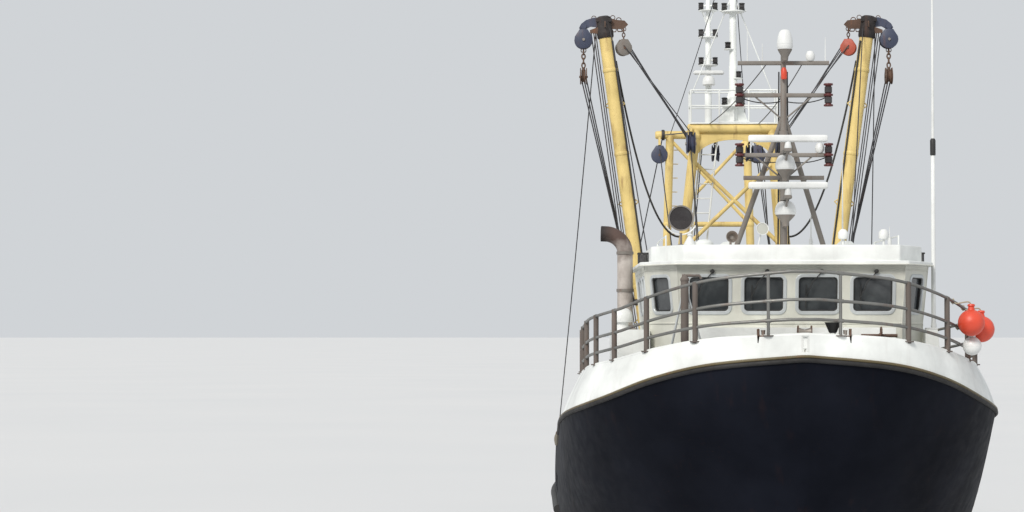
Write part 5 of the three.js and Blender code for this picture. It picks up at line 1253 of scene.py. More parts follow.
def stern_mast_pieces():
    """The pole on the after beam: a saddle cut by a circle, lamp pairs, a scanner bar, a dome."""
    y, top = aft(STERN.s), STERN.top
    arch = np.radians(np.linspace(155, 25, 12))
    under = [(0.0965 * math.cos(a), 0.0965 * math.sin(a)) for a in arch]
    saddle = np.array([(-0.12, 0.04), *under, (0.12, 0.04), (0.12, 0.13), (-0.12, 0.13)]) + (y, top)
    pole = [(0, top + 0.11), (0.1, top + 0.11), (0.1, top + 0.15), (0.085, top + 0.17), (0.08, 10.9),
            (0.072, 10.92), (0.066, 12.2), (0.058, 12.22), (0.055, 12.88), (0, 12.9)]
    parts = [slab(saddle, -0.16, 0.16, 0), turned(pole, (0, y, 0), sides=36)]
    plate = [(0, -0.155), (0.1, -0.15), (0.215, -0.132), (0.225, -0.125), (0.225, -0.112), (0.215, -0.108),
             (0, -0.108)]
    for z in STERN_LAMPS:
        parts.append(tube([(-0.19, y, z), (0.19, y, z)], 0.022, 14))
        parts.append(turned(plate, (0, y, z)))
    for turn in np.radians((45, 135, 225, 315)):
        out = np.array([math.cos(turn), math.sin(turn), 0])
        middle = np.array([0, y, STERN_LAMPS[0]])
        parts.append(tube([middle + 0.19 * out - (0, 0, 0.13), middle + 0.05 * out - (0, 0, 0.42)], 0.011, 8))
    piece("stern_mast_pole", parts, "white", replaces=["stern_mast"])
    drum = [(0, -0.11), (0.06, -0.11), (0.065, -0.1), (0.065, -0.07), (0.05, -0.06), (0.05, 0.04),
            (0.065, 0.05), (0.065, 0.07), (0, 0.08)]
    lens = [(0.051, -0.056), (0.061, -0.048), (0.061, 0.03), (0.051, 0.038)]
    for name, profile, look in (("lamps", drum, "black"), ("lenses", lens, "lamp_dark")):
        parts = [turned(profile, (x, y, z), sides=24) for z, x in product(STERN_LAMPS, (-0.165, 0.165))]
        piece("stern_mast_" + name, parts, look)
    dome = [(0, 10.85), (0.13, 10.85), (0.15, 10.87), (0.15, 10.93), (0.137, 11.0), (0.11, 11.05),
            (0.06, 11.08), (0, 11.09)]
    parts = [block((-0.36, y - 0.26, 11.1), (0.36, y - 0.15, 11.2), 0.03),
             block((-0.045, y - 0.2, 11.01), (0.045, y - 0.03, 11.105), 0.008),
             turned(dome, (0, y - 0.2, 0), sides=36)]
    piece("stern_mast_scanner", parts, "plastic")


# Booms and blocks.

BOOM = Sizes(s=13.4, x=1.55, z=3.1, head_x=2.68, head_z=11.4, radius=0.145)
FALLS_STRAP = 2.6
HORN_OUT = 0.41
BOOM_LENGTH = math.hypot(BOOM.head_x - BOOM.x, BOOM.head_z - BOOM.z)
BOOM_LEAN = math.atan2(BOOM.head_x - BOOM.x, BOOM.head_z - BOOM.z)


def up_boom(k, length, out=0.0, ahead=0.0):
    """A point up a boom from its pin, k being 1 to port, moved out across the spar and ahead."""
    x = BOOM.x + math.sin(BOOM_LEAN) * length + math.cos(BOOM_LEAN) * out
    z = BOOM.z + math.cos(BOOM_LEAN) * length - math.sin(BOOM_LEAN) * out
    return np.array([k * x, aft(BOOM.s) - ahead, z])


def head_hub(k):
    """The middle of a boom's head."""
    return up_boom(k, BOOM_LENGTH - 0.12)


def boom_pieces(name, k):
    """One boom: spar with collars, eyes and heel, sleeved head, outer horn and inner plate."""
    body = "boom_" + name
    y = aft(BOOM.s)
    axis = up_boom(k, 1.0) - up_boom(k, 0)
    route = [up_boom(k, length) for length in (0.3, 0.5, 3.0, 6.0, BOOM_LENGTH - 0.42)]
    parts = [tube(route, BOOM.radius, 44, (0.93, 1.0, 1.0, 0.98, 0.95))]
    for length in (0.55, 2.9, 5.6, 7.3):
        parts.append(collar(up_boom(k, length), axis, BOOM.radius * 0.985, 0.04, 0.01))
    for length, way in product((2.2, 4.6, 6.6), (1, -1)):
        eye = [up_boom(k, length + along, way * out)
               for along, out in ((-0.05, 0.14), (0, 0.2), (0.05, 0.14))]
        parts.append(tube(eye, 0.014, 12))
    heel = both_ways([(0.12, 0.12), (0.112, 0.1296), (0, 0.1296)])
    parts.append(turned(heel, (k * BOOM.x, y, BOOM.z), Y, 36))
    cheek = [up_boom(k, up, out) for up, out in ((0, -0.11), (0.34, -0.13), (0.34, 0.13), (0, 0.11))]
    parts.append(slab([(spot[0], spot[2]) for spot in cheek], y - 0.11, y + 0.11, 1))
    piece(body + "_spar", parts, "yellow", body=body, replaces=[body])
    sleeve = [(0, 0), (0.15, 0), (0.165, 0.02), (0.17, 0.1), (0.17, 0.14), (0.155, 0.17), (0.15, 0.42),
              (0.1, 0.45), (0, 0.45)]
    parts = [turned(sleeve, up_boom(k, BOOM_LENGTH - 0.42), axis, 40)]
    hub = head_hub(k)
    for ahead in (0.1, -0.1):
        parts.append(block(hub + (-0.16, -ahead - 0.03, 0.02), hub + (0.16, -ahead + 0.03, 0.1), 0.01))
    piece(body + "_head", parts, "soot", body=body)
    horn = [(0, 0.1), (0.2, 0.12), (0.36, 0.07), (0.46, -0.01), (0.5, -0.09), (0.48, -0.11), (0.36, -0.11),
            (0.27, -0.06), (0.17, -0.07), (0, -0.11)]
    inboard = [(0, 0.1), (-0.42, 0.06), (-0.49, -0.02), (-0.4, -0.11), (0, -0.11)]
    arm, plate = (
        slab([(hub[0] + k * x, hub[2] + z) for x, z in outline], y - half, y + half, 1)
        for outline, half in ((horn, 0.035), (inboard, 0.02))
    )
    boss = turned(rod(0.06, -0.06, 0.06), hub + (k * HORN_OUT, 0, -0.06), Y, 24)
    piece(body + "_horn", [arm, boss], "blue", body=body)
    parts = [plate]
    for x, z, size in ((-0.3, 0.07, 0.05), (-0.18, 0.12, 0.045), (-0.33, -0.12, 0.055), (-0.2, -0.13, 0.05),
                       (0.2, 0.11, 0.045)):
        parts += shackle(hub + (k * x, 0, z), size)
    for ahead in (-0.19, 0.19):
        parts += shackle(hub + (-k * 0.02, ahead, -0.04), 0.06, X)
    piece(body + "_shackles", parts, "rust", body=body)


def step_pieces(name, k):
    """One boom's step: a boxed post on a base plate, two ears with half-round tops, and the pin."""
    x, y, z = k * BOOM.x, aft(BOOM.s), BOOM.z
    parts = [block((x - 0.17, y - 0.2, 1.68), (x + 0.17, y + 0.2, z - 0.33), 0.02),
             block((x - 0.24, y - 0.27, 1.68), (x + 0.24, y + 0.27, 1.72), 0.008)]
    turn = np.linspace(0, np.pi, 15)
    cap = np.column_stack([x + 0.11 * np.cos(turn), z + 0.11 * np.sin(turn)])
    ear = np.concatenate([[(x - 0.16, z - 0.34), (x + 0.16, z - 0.34)], cap])
    parts += [slab(ear, y + way * 0.165 - 0.035, y + way * 0.165 + 0.035, 1) for way in (-1, 1)]
    piece("boom_step_post_" + name, parts, "yellow", replaces=["boom_step_" + name])
    parts = [turned(rod(0.05, -0.24, 0.24), (x, y, z), Y, 28)]
    parts += [turned(rod(0.085, 0, 0.012), (x, y + s, z), Y, 28) for s in (-0.214, 0.202)]
    piece("boom_pin_" + name, parts, "rust")


def cargo_block(top, size, thick, heading=Y):
    """A block hung by its top: cheeks half round below, a grooved sheave, a strap; apart, its pin."""
    axle = unit(np.asarray(heading, float))
    up = np.array([0.0, 0.0, 1.0])
    across = np.cross(axle, up)
    top = np.asarray(top, float)
    turn = np.linspace(np.pi, 2 * np.pi, 13)
    shield = np.concatenate([
        np.column_stack([np.cos(turn), np.sin(turn)]) * 0.46,
        [(0.44, 0.15), (0.2, 0.52), (-0.2, 0.52), (-0.44, 0.15)],
    ]) * size
    hub = top - up * size * 0.55
    parts = []
    for low, high in ((-0.5, -0.36), (0.36, 0.5)):
        levels = [(low, 0.95), (low + 0.03, 1.0), (high - 0.03, 1.0), (high, 0.95)]
        rings = [hub + shield[:, :1] * across * s + shield[:, 1:] * up * s + axle * thick * t
                 for t, s in levels]
        parts.append(surface(np.stack(rings)))
    groove = both_ways([(0.3, 0), (0.33, 0.1), (0.44, 0.28), (0.4, 0.3), (0, 0.3)])
    parts.append(turned(np.array(groove) * (size, thick), hub, axle, 36))
    parts.append(tube([top - up * size * 0.4, top], size * 0.09, 14))
    return parts, [turned(rod(0.07 * size, -0.62 * thick, 0.62 * thick), hub, axle, 12)]


def link_chain(start, end, link=0.09, wire=0.012):
    """A chain: its links are ellipses, link long, each turned a quarter from the last."""
    start, end = np.asarray(start, float), np.asarray(end, float)
    along = end - start
    count = max(2, int(np.linalg.norm(along) / (link * 0.72)))
    along = unit(along)
    first_way = unit(np.cross(along, Y if abs(along[1]) < 0.9 else X))
    ways = (np.cross(along, first_way), first_way)
    turn = np.linspace(0, 2 * np.pi, 16, endpoint=False)
    ring = circle(wire, 8)
    made = []
    for k in range(count):
        middle = start + (end - start) * (k + 0.5) / count
        oval = link * (np.cos(turn)[:, None] * along * 0.5 + np.sin(turn)[:, None] * ways[k % 2] * 0.3)
        out = unit(oval)
        third = np.cross(along, ways[k % 2])
        points = middle + oval[:, None] + ring[None, :, :1] * out[:, None] + ring[None, :, 1:] * third
        made.append(surface(np.concatenate([points, points[:1]]), ends=False))
    return made


def shackle(spot, size, heading=Y):
    """A bow shackle: three quarters of a ring with a pin across its mouth."""
    side_way = np.cross(heading, (0, 0, 1))
    turn = np.linspace(-0.25 * np.pi, 1.25 * np.pi, 18)[:, None]
    ring = np.asarray(spot) + size * (np.cos(turn) * side_way + np.sin(turn) * (0, 0, 1))
    mouth = ring[-1] - ring[0]
    pin = [ring[0] - mouth * 0.15, ring[-1] + mouth * 0.15]
    return [tube(ring, size * 0.18, 12), tube(pin, size * 0.2, 10)]


def block_pieces(name, k):
    """One side's blocks: outboard and inboard of the boom's head, and at the gantry's beam end."""
    body = "boom_" + name
    parts, pin = cargo_block(head_hub(k) + (k * HORN_OUT, 0, -0.11), 0.4, 0.2)
    piece("boom_block_shell_" + name, parts, "blue", body=body, replaces=["boom_block_" + name])
    piece("boom_block_pin_" + name, pin, "steel", body=body)
    inner = head_hub(k) + (-k * 0.4, 0, -0.11)
    parts, pin = cargo_block(inner + (0, 0, -0.2), 0.34, 0.16, (0.3 * k, 1, 0))
    piece("inner_block_" + name, parts, "red" if k > 0 else "grey", body=body)
    chain = link_chain(inner, inner + (0, 0, -0.24))
    piece("inner_chain_" + name, chain + pin + shackle(inner, 0.045), "rust", body=body)
    beam_end = (k * BLOCK_X, aft(GANTRY.s) - BLOCK_AHEAD, GANTRY.top - 0.09 - GAP)
    parts, pin = cargo_block(beam_end, 0.44, 0.18, X)
    piece("gantry_block_shell_" + name, parts, "blue", replaces=["gantry_block_" + name])
    piece("gantry_block_pin_" + name, pin, "steel")


def falls_pieces(name, k):
    """The block hung on a chain under the first, and its three falls to a strap on the spar."""
    body = "boom_" + name
    hook = head_hub(k) + (k * HORN_OUT, 0, -0.51)
    hung = hook - (0, 0, 0.38)
    parts, pin = cargo_block(hung, 0.34, 0.14, X)
    piece("hanging_block_" + name, parts, "rust", body=body, replaces=["boom_falls_" + name])
    chain = link_chain(hook - (0, 0, 0.02), hung, 0.11, 0.016)
    piece("hanging_chain_" + name, chain + pin + shackle(hook - (0, 0, 0.03), 0.05), "rust", body=body)
    strap = up_boom(k, FALLS_STRAP)
    band = both_ways([(0.17, 0.05), (0.164, 0.06), (0.1465, 0.06)])
    parts = [turned(band, strap, strap - up_boom(k, 0), 36)]
    for shift in (-0.05, 0, 0.05):
        parts.append(tube(straight(hung + (shift, 0, -0.2), strap + (k * 0.157, shift, 0), 12), 0.013, 10))
    piece("falls_" + name, parts, "wire", body=body)


# Rigging. A wire is drawn straight or with a small sag; one whose ends two bodies hold is left on neither
# body.


def wire(name, start, end, sag=0.0, radius=0.011, bodies=("ship", "ship"), look="wire"):
    """One wire from start to end, riding on its body when both ends share one, and on no body when they
    differ.
    """
    first, last = bodies
    made = piece(name, tube(sagging(start, end, sag, 28), radius, 8), look, first if first == last else None)
    if first != last:
        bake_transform(made)


def rig_side(name, k):
    """One side's wires: topping lift and falls, wires and cables at the spar, and guys."""
    boom, y = "boom_" + name, aft(BOOM.s)
    held = ("ship", boom)
    hub = head_hub(k)
    beam = np.array([k * BLOCK_X, aft(GANTRY.s) - BLOCK_AHEAD, GANTRY.top - 0.33])
    inner = hub + (-k * 0.4, 0, -0.45)
    spread = ((-0.1, 0.08, -0.09), (-0.02, 0, -0.03), (0.06, 0.16, 0.03), (0.08, 0.12, 0.07))
    for n, (out, up, shift) in enumerate(spread):
        lower = inner + (-k * 0.03 * n, shift, 0.02 * n)
        wire(f"topping_lift_{name}_{n}", beam + (k * out, shift, up), lower, bodies=held)
    for n, (x, shift, sag) in enumerate(((0.6, -0.05, 0), (0.5, 0.06, 0.05))):
        wire(f"lift_fall_{name}_{n}", (k * 1.15 * x, aft(11.25), 3.0), beam + (0, shift, -0.05), sag)
    ends = ((0.62, 0.1), (BOOM_LENGTH - 0.25, 0.06))
    for n, out in enumerate((0.19, 0.23, 0.28)):
        low, high = up_boom(k, ends[0][0], out * 0.95, ends[0][1]), up_boom(k, ends[1][0], out, ends[1][1])
        wire(f"spar_wire_{name}_{n}", low, high, 0.01 * n, bodies=(boom, boom))
    lugs = []
    for length, ahead in ends:
        corners = [up_boom(k, length + along, out)
                   for along, out in ((-0.08, 0.08), (-0.03, 0.3), (0.03, 0.3), (0.08, 0.08))]
        lugs.append(slab([(spot[0], spot[2]) for spot in corners], y - ahead - 0.02, y - ahead + 0.02, 1))
    piece(f"spar_lugs_{name}", lugs, "rust", body=boom)
    cable = [up_boom(k, length, -0.12, 0.1) for length in (0.8, BOOM_LENGTH - 0.5)]
    wire(f"spar_cable_{name}", *cable, 0, 0.02, (boom, boom), "black")
    leg = (k * (gantry_half(7.0) + 0.09), aft(GANTRY.s), 7.0)
    wire(f"slack_cable_{name}", leg, up_boom(k, BOOM_LENGTH - 0.9, -0.14), 0.9, 0.02, held, "black")
    fore, quarter = (k * 1.6, aft(8.6), WHALEBACK + 0.05), cap_spot(k, 20.5) + (0, 0, 0.05)
    wire(f"fore_guy_{name}", fore, hub + (-k * 0.1, 0, 0.05), 0.05, bodies=held)
    wire(f"aft_guy_{name}", quarter, hub + (k * 0.14, 0, 0.05), 0.15, bodies=held)
    piece(f"guy_eyes_{name}", shackle(fore, 0.05) + shackle(quarter, 0.05), "rust")


STAY = Sizes(fore=0.45, eye=1.065, foot=26.1)


def cap_spot(k, s):
    """The middle of the bulwark's top, s metres aft of the stem head."""
    station = catmull(LINES, np.array([station_of(s)]))[0]
    return np.array([k * (station[10] - WALL / 2), aft(s), station[11]])


def stays_pieces(name, k):
    """One side's main stays: fore gantry to an eye round the after beam, on to the quarter."""
    beam = np.array([k * STAY.eye, aft(STERN.s), STERN.top])
    fore = np.array([k * STAY.fore, aft(GANTRY.s) + GANTRY.aft_top, GANTRY.top])
    parts = [turned(both_ways([(0.125, 0.025), (0.12, 0.035), (0.0965, 0.035)]), beam, X, 32)]
    for far, clear in ((fore, 0.085), (cap_spot(k, STAY.foot), 0.004)):
        along = unit(far - beam)
        parts.append(tube(straight(beam + along * 0.11, far - along * clear, 20), 0.013, 10))
        parts.append(tube([far - along * (clear + 0.52), far - along * (clear + 0.2)], 0.028, 12))
    piece("main_stays_" + name, parts, "wire", replaces=["stays_" + name])


def rigging_pieces():
    """All wires: both sides, fore and mast stays, warps between the gantries, hoist blocks."""
    for name, k in SIDES:
        rig_side(name, k)
    y, stern, top, beam_aft = aft(GANTRY.s), aft(STERN.s), GANTRY.top, GANTRY.aft_top
    for name, k in SIDES:
        yard = (MAST.x + k * 0.3, aft(MAST.s), 9.5)
        wire("forestay_" + name, yard, (k * 0.5, y, top + 0.1), 0.08, 0.009)
        stays_pieces(name, k)
        wire("mast_stay_" + name, (0, y + 0.2, 13.1), (k * 0.9, stern, STERN.top), 0.06, 0.009)
        warp = ((k * 0.95, aft(11.0), 2.955), (k * 1.15, stern - 0.1, STERN.top - 0.35))
        wire("trawl_warp_" + name, *warp, 0.05, 0.013)
        eye = (k * 1.2, y + 1.8, 1.67)
        wire("tackle_fall_" + name, eye, (k * 0.6, y + beam_aft, top - 0.1), 0.02)
        piece("tackle_eye_" + name, shackle(eye, 0.05), "rust")
    blocks, pins = [], []
    for k in (1, -1):
        for hung in (
            cargo_block((k * 1.15, stern, STERN.top - 0.24), 0.42, 0.18),
            cargo_block((k * 0.35, y + beam_aft, top - 0.3), 0.34, 0.15, X),
        ):
            blocks += hung[0]
            pins += hung[1]
        pins += link_chain((k * 0.35, y + beam_aft, top - 0.06), (k * 0.35, y + beam_aft, top - 0.32))
    piece("hoist_blocks", blocks, "blue")
    piece("hoist_pins", pins, "rust")


# Deck gear.


def drum_profile(low, high, core, flange, wide=0.05):
    """A winch drum's profile: two flanges with rounded rims on a core."""
    half = [(core, -wide), (flange - 0.01, -wide), (flange, 0.01 - wide), (flange, -0.01), (flange - 0.01, 0),
            (0, 0)]
    return [(r, low - h) for r, h in reversed(half)] + [(r, high + h) for r, h in half]


def wound(spot, x0, x1, radius, rope):
    """Rope wound on a drum: a helix one rope's width a turn, from x0 to x1 along X."""
    turns = int((x1 - x0) / (rope * 2.04))
    t = np.linspace(0, 1, turns * 16)
    around = 2 * np.pi * turns * t
    out = np.column_stack([np.zeros(len(t)), np.cos(around), np.sin(around)])
    path = np.asarray(spot) + (x0 + (x1 - x0) * t)[:, None] * X + radius * out
    along = unit(np.gradient(path, axis=0))
    over = np.cross(along, out)
    section = circle(rope, 6)
    return surface(path[:, None] + section[None, :, :1] * out[:, None] + section[None, :, 1:] * over[:, None])


WINCH = Sizes(s=11.2, z=2.62)


def winch_pieces():
    """The trawl winch: frame cheeks, ribbed gearbox, levers, and two drums full of warp."""
    y, z = aft(WINCH.s), WINCH.z
    parts = [block((-1.5, y - 0.48, 1.78), (1.5, y + 0.62, 2.0), 0.02)]
    cheek = [(y - 0.42, 1.99), (y + 0.42, 1.99), (y + 0.15, z + 0.15), (y - 0.15, z + 0.15)]
    for x in (-1.4, 1.4):
        parts.append(slab(cheek, x - 0.035, x + 0.035, 0))
        parts.append(turned(both_ways([(0.15, 0.06), (0.14, 0.07), (0, 0.07)]), (x, y, z), X))
    parts.append(block((-0.18, y - 0.3, 1.99), (0.18, y + 0.56, z + 0.26), 0.03))
    for s in np.linspace(-0.24, 0.5, 6):
        parts.append(block((-0.19, y + s - 0.012, 2.02), (0.19, y + s + 0.012, z + 0.2), 0.004))
    parts.append(turned(both_ways([(0.17, 0.2), (0.15, 0.22), (0, 0.22)]), (0, y + 0.4, z + 0.2), X))
    piece("winch_bed", parts, "green", replaces=["winch_frame"])
    places = (-1.25, -1.15, 1.15, 1.25)
    knob = [(0, -0.03), (0.025, -0.02), (0.03, 0), (0.025, 0.02), (0, 0.03)]
    parts = [tube([(x, y - 0.42, 2.0), (x, y - 0.5, 2.6)], 0.016, 10) for x in places]
    parts += [turned(knob, (x, y - 0.5, 2.62), sides=16) for x in places]
    piece("winch_levers", parts, "red")
    for name, k in SIDES:
        body = "winch_drum_" + name
        low, high = sorted((k * 0.26, k * 1.3))
        parts = [turned(drum_profile(low, high, 0.25, 0.48), (0, y, z), X, 56)]
        parts.append(turned(rod(0.07, *sorted((k * 0.06, k * 1.56))), (0, y, z), X))
        end = both_ways([(0.13, 0.03), (0.12, 0.06), (0, 0.06)])
        parts.append(turned(end, (k * 1.5, y, z), X))
        piece(body + "_flanges", parts, "green", body=body, replaces=[body])
        low, high = sorted((k * 0.33, k * 1.23))
        piece(body + "_warp", wound((0, y, z), low, high, 0.385, 0.016), "wire", body=body)
        core = turned(rod(0.385, low - 0.01, high + 0.01), (0, y, z), X, 48)
        piece(body + "_core", core, "soot", body=body)


WINDLASS = Sizes(s=1.95, z=4.68)


def windlass_pieces():
    """The windlass: bed, cheeks, motor, warping heads and a gypsy, with its chain and stopper."""
    y, z = aft(WINDLASS.s), WINDLASS.z
    parts = [block((-0.56, y - 0.3, WHALEBACK + 0.02), (0.56, y + 0.42, 4.42), 0.015)]
    cheek = [(y - 0.23, 4.4), (y + 0.26, 4.4), (y + 0.11, z + 0.12), (y - 0.11, z + 0.12)]
    for x in (-0.43, 0.43):
        parts.append(slab(cheek, x - 0.03, x + 0.03, 0))
        parts.append(turned(both_ways([(0.115, 0.03), (0.11, 0.045), (0.07, 0.045)]), (x, y, z), X))
    parts.append(turned(both_ways([(0.12, 0.23), (0.1, 0.25), (0, 0.25)]), (0, y + 0.33, 4.52), X))
    piece("windlass_bed", parts, "rust", replaces=["windlass_frame"])
    head = [(0, 0.47), (0.1, 0.47), (0.115, 0.48), (0.098, 0.56), (0.092, 0.64), (0.105, 0.74), (0.165, 0.78),
            (0.17, 0.79), (0.165, 0.815), (0, 0.82)]
    gypsy = both_ways([(0.15, 0.05), (0.19, 0.09), (0.19, 0.11), (0.18, 0.12), (0.06, 0.12)])
    gypsy.insert(5, (0.13, 0))
    parts = [turned(head, (0, y, z), (k, 0, 0), 40) for k in (1, -1)]
    for profile, sides in ((gypsy, 40), (rod(0.06, -0.82, 0.82), 28), (rod(0.09, -0.39, 0.39), 28)):
        parts.append(turned(profile, (0, y, z), X, sides))
    piece("windlass_heads", parts, "rust", body="windlass_drum", replaces=["windlass_drum"])
    chain = link_chain((0, y - 0.17, z + 0.02), (0, aft(0.55), 4.72), 0.13, 0.018)
    piece("anchor_chain", chain, "rust")
    parts = [block((-0.12, aft(1.15), WHALEBACK + 0.3), (0.12, aft(1.35), 4.62), 0.01),
             tube([(-0.1, aft(1.2), 4.6), (0.08, aft(1.2), 4.78)], 0.02, 12)]
    piece("chain_stopper", parts, "rust")


def foredeck_fitting_pieces():
    """Bollards with caps fore and aft, and the samson post with its stays and hook."""
    fore, main = (2.3, 2.9, WHALEBACK + 0.06, WHALEBACK + 0.003), (3.05, 21.3, 1.64, 1.69)
    for (end, (out, s, z, seat)), (name, k) in product((("fore_", fore), ("aft_", main)), SIDES):
        x, y = k * out, aft(s)
        post = [(0, 0), (0.08, 0), (0.08, 0.285), (0.1, 0.3), (0.105, 0.312), (0.105, 0.326), (0.095, 0.335),
                (0, 0.336)]
        parts = [turned(post, (x, y + shift, z), sides=36) for shift in (0.19, -0.19)]
        parts.append(block((x - 0.13, y - 0.33, seat), (x + 0.13, y + 0.33, z + 0.04), 0.01))
        parts.append(tube([(x, y - 0.29, z + 0.2), (x, y + 0.29, z + 0.2)], 0.022, 14))
        piece("bollards_" + end + name + "_heads", parts, "rust", replaces=["bollards_" + end + name])
    x, y = -1.68, aft(2.0)
    post = [(0, WHALEBACK), (0.1, WHALEBACK), (0.1, WHALEBACK + 0.02), (0.062, WHALEBACK + 0.04),
            (0.062, 5.84), (0.07, 5.85), (0.07, 5.88), (0.03, 5.93), (0, 5.96)]
    hook = tube([(x - 0.04, y, 5.93), (x + 0.23, y, 5.93), (x + 0.26, y, 5.88)], 0.022, 14)
    piece("samson_post", [turned(post, (x, y, 0)), hook], "rust_post", replaces=["bow_post"])
    parts = [tube([(x, y, 5.8), (x + out, y + back, WHALEBACK + 0.01)], 0.018, 14)
             for out, back in ((-0.33, 0.35), (0.47, 0.25))]
    piece("samson_stays", parts, "frame")


def chock_pieces():
    """The stem's roller between leaning cheeks, a roller chock on each bow, and a horn."""
    _, y, z = rail_points([0.2], 0)[0]
    cheek = np.array([(-0.03, -0.15), (0.26, -0.15), (0.06, 0.15), (-0.01, 0.15)]) + (y, z)
    iron = [slab(cheek, x, x + 0.02, 0) for x in (-0.11, 0.09)]
    piece("stem_sill", block((-0.11, y - 0.02, z - 0.2), (0.11, y + 0.24, z - 0.02), 0.01), "white")
    grooved = [(0, -0.095), (0.055, -0.095), (0.055, -0.08), (0.03, 0), (0.055, 0.08), (0.055, 0.095),
               (0, 0.095)]
    rollers = [turned(grooved, (0, y + 0.025, z + 0.06), X, 24)]
    for k in (-1, 1):
        spot = rail_points([0.5], 0)[0] * (k, 1, 1)
        for x0, x1, high in ((-0.093, -0.057, 0.12), (0.057, 0.093, 0.12), (-0.093, 0.093, 0.02)):
            iron.append(block(spot + (x0, -0.015, -0.1), spot + (x1, 0.07, high), 0.008))
        barrel = [(0, 0.01), (0.034, 0.01), (0.028, 0.055), (0.034, 0.1), (0, 0.1)]
        rollers.append(turned(barrel, spot + (0, 0.027, 0), sides=20))
    piece("chock_cheeks", iron, "rust")
    piece("chock_rollers", rollers, "steel")
    spot = rail_points([0.38], 0)[0] + (0, 0.16, 0)
    horn = [(0, 0.05), (0.05, 0.05), (0.06, 0.06), (0.12, 0.2), (0.13, 0.21), (0.115, 0.21), (0.05, 0.08),
            (0, 0.08)]
    piece("bow_horn", turned(horn, spot), "black")
    piece("bow_horn_foot", turned(rod(0.045, -0.26, 0.06), spot, sides=20), "white")


def fender_pieces():
    """Three ball fenders: a sphere with a mould seam and moulded neck, and a rope to the rail."""
    turn = np.linspace(-np.pi / 2, np.pi / 2, 30)[:27]
    for name, u, share, drop, radius, look in (
        ("fender_orange_fore", 2.55, 1.0, 0.33, 0.205, "orange"),
        ("fender_orange_aft", 2.95, 1.0, 0.33, 0.205, "orange"),
        ("fender_white", 2.72, 0.56, 0.29, 0.145, "plastic"),
    ):
        spot = rail_points([u], share)[0]
        centre = spot + (radius + 0.07, 0, -drop)
        ball = np.column_stack([np.cos(turn), np.sin(turn)]) * radius
        neck = [(0.055, radius * 0.97), (0.045, radius + 0.04), (0.06, radius + 0.06), (0.05, radius + 0.085),
                (0, radius + 0.09)]
        seam = [(radius * 0.99, -0.006), (radius + 0.003, 0), (radius * 0.99, 0.006)]
        parts = [turned(profile, centre, sides=48) for profile in (np.concatenate([ball, neck]), seam)]
        piece(name + "_ball", parts, look, replaces=[name])
        top = centre + (0, 0, radius + 0.07)
        loop = spot + np.array([(0.04, 0, -0.03), (0, 0, 0.035), (-0.035, 0, 0), (0, 0, -0.04)])
        rope = np.concatenate([[top, top + (-0.05, 0, 0.05)], loop])
        piece(name + "_lanyard", tube(catmull(rope, np.linspace(0, 5, 40)), 0.011, 10), "rope")


def hatch_pieces():
    """The fish hatch: coaming with a rounded lip, and a bevelled lid with ribs, grips and dogs."""
    s0, s1, half, top, wall = 17.0, 18.4, 0.75, 2.15, 0.06
    rings = []
    for inset, z in ((0, 1.62), (0, top - 0.008), (0.008, top), (wall - 0.008, top), (wall, top - 0.008),
                     (wall, 1.62)):
        outline = rounded(2 * (half - inset), s1 - s0 - 2 * inset, 0.02) + (0, aft((s0 + s1) / 2))
        rings.append(np.column_stack([outline, np.full(len(outline), z)]))
    piece("hatch_rim", surface(np.stack([*rings, rings[0]]), ends=False), "green", replaces=["hatch_coaming"])
    z = top + GAP
    parts = [block((-half - 0.04, aft(s0 - 0.04), z), (half + 0.04, aft(s1 + 0.04), z + 0.06), 0.015)]
    for x in (-0.35, 0.35):
        parts.append(block((x - 0.03, aft(s0 + 0.06), z + 0.055), (x + 0.03, aft(s1 - 0.06), z + 0.11)))
    for s in (17.35, 18.05):
        grip = [(x, aft(s), z + up) for x, up in ((-0.17, 0.05), (-0.17, 0.09), (0.17, 0.09), (0.17, 0.05))]
        parts.append(tube(grip, 0.016, 12))
    piece("hatch_cover", parts, "green", body="hatch_lid", replaces=["hatch_lid"])
    dog = [(0, 0), (0.03, 0), (0.03, 0.03), (0.012, 0.035), (0.012, 0.07), (0, 0.075)]
    parts = [turned(dog, (x, aft(s), z + 0.055), sides=18)
             for x, s in product((-0.7, 0.7), (17.1, 17.7, 18.3))]
    piece("hatch_dogs", parts, "steel", body="hatch_lid")


def ladder_pieces():
    """The ladder up the break: flat stiles with rounded edges and round rungs."""
    x0, s = 1.25, BREAK + GAP
    parts = [block((x, aft(s), 1.87), (x + 0.05, aft(s + 0.14), 5.1), 0.008) for x in (x0, x0 + 0.5)]
    for z in np.arange(2.05, 5.0, 0.3):
        parts.append(tube([(x0 + 0.02, aft(s + 0.09), z), (x0 + 0.53, aft(s + 0.09), z)], 0.016, 14))
    piece("break_ladder_frame", parts, "white", replaces=["break_ladder"])


def under_hull_pieces():
    """Zinc anodes by the skeg, and the propeller's cone."""
    parts = [block((x - 0.02, aft(s), -2.3), (x + 0.02, aft(s + 0.3), -2.2), 0.01)
             for x, s in product((SKEG_HALF, -SKEG_HALF), (20.2, 21.2))]
    piece("anodes", parts, "steel")
    cone = [(0, 0), (0.09, 0), (0.088, 0.05), (0.06, 0.14), (0.02, 0.19), (0, 0.195)]
    piece("propeller_cone", turned(cone, (0, aft(22.96), SHAFT_Z), Y), "bronze", body="propeller")


# The operators, the stage and the panel.


def build(*builders):
    """Runs the builders in turn, and says for the operator that it is done."""
    for builder in builders:
        builder()
    return {"FINISHED"}


class TRAWLER_OT_hull(bpy.types.Operator):
    """Builds the smooth hull, whaleback and bulwark"""

    bl_idname = "trawler.hull"
    bl_label = "Build the hull"

    def execute(self, context):
        return build(hull_pieces, whaleback_pieces, bulwark_pieces, under_hull_pieces)


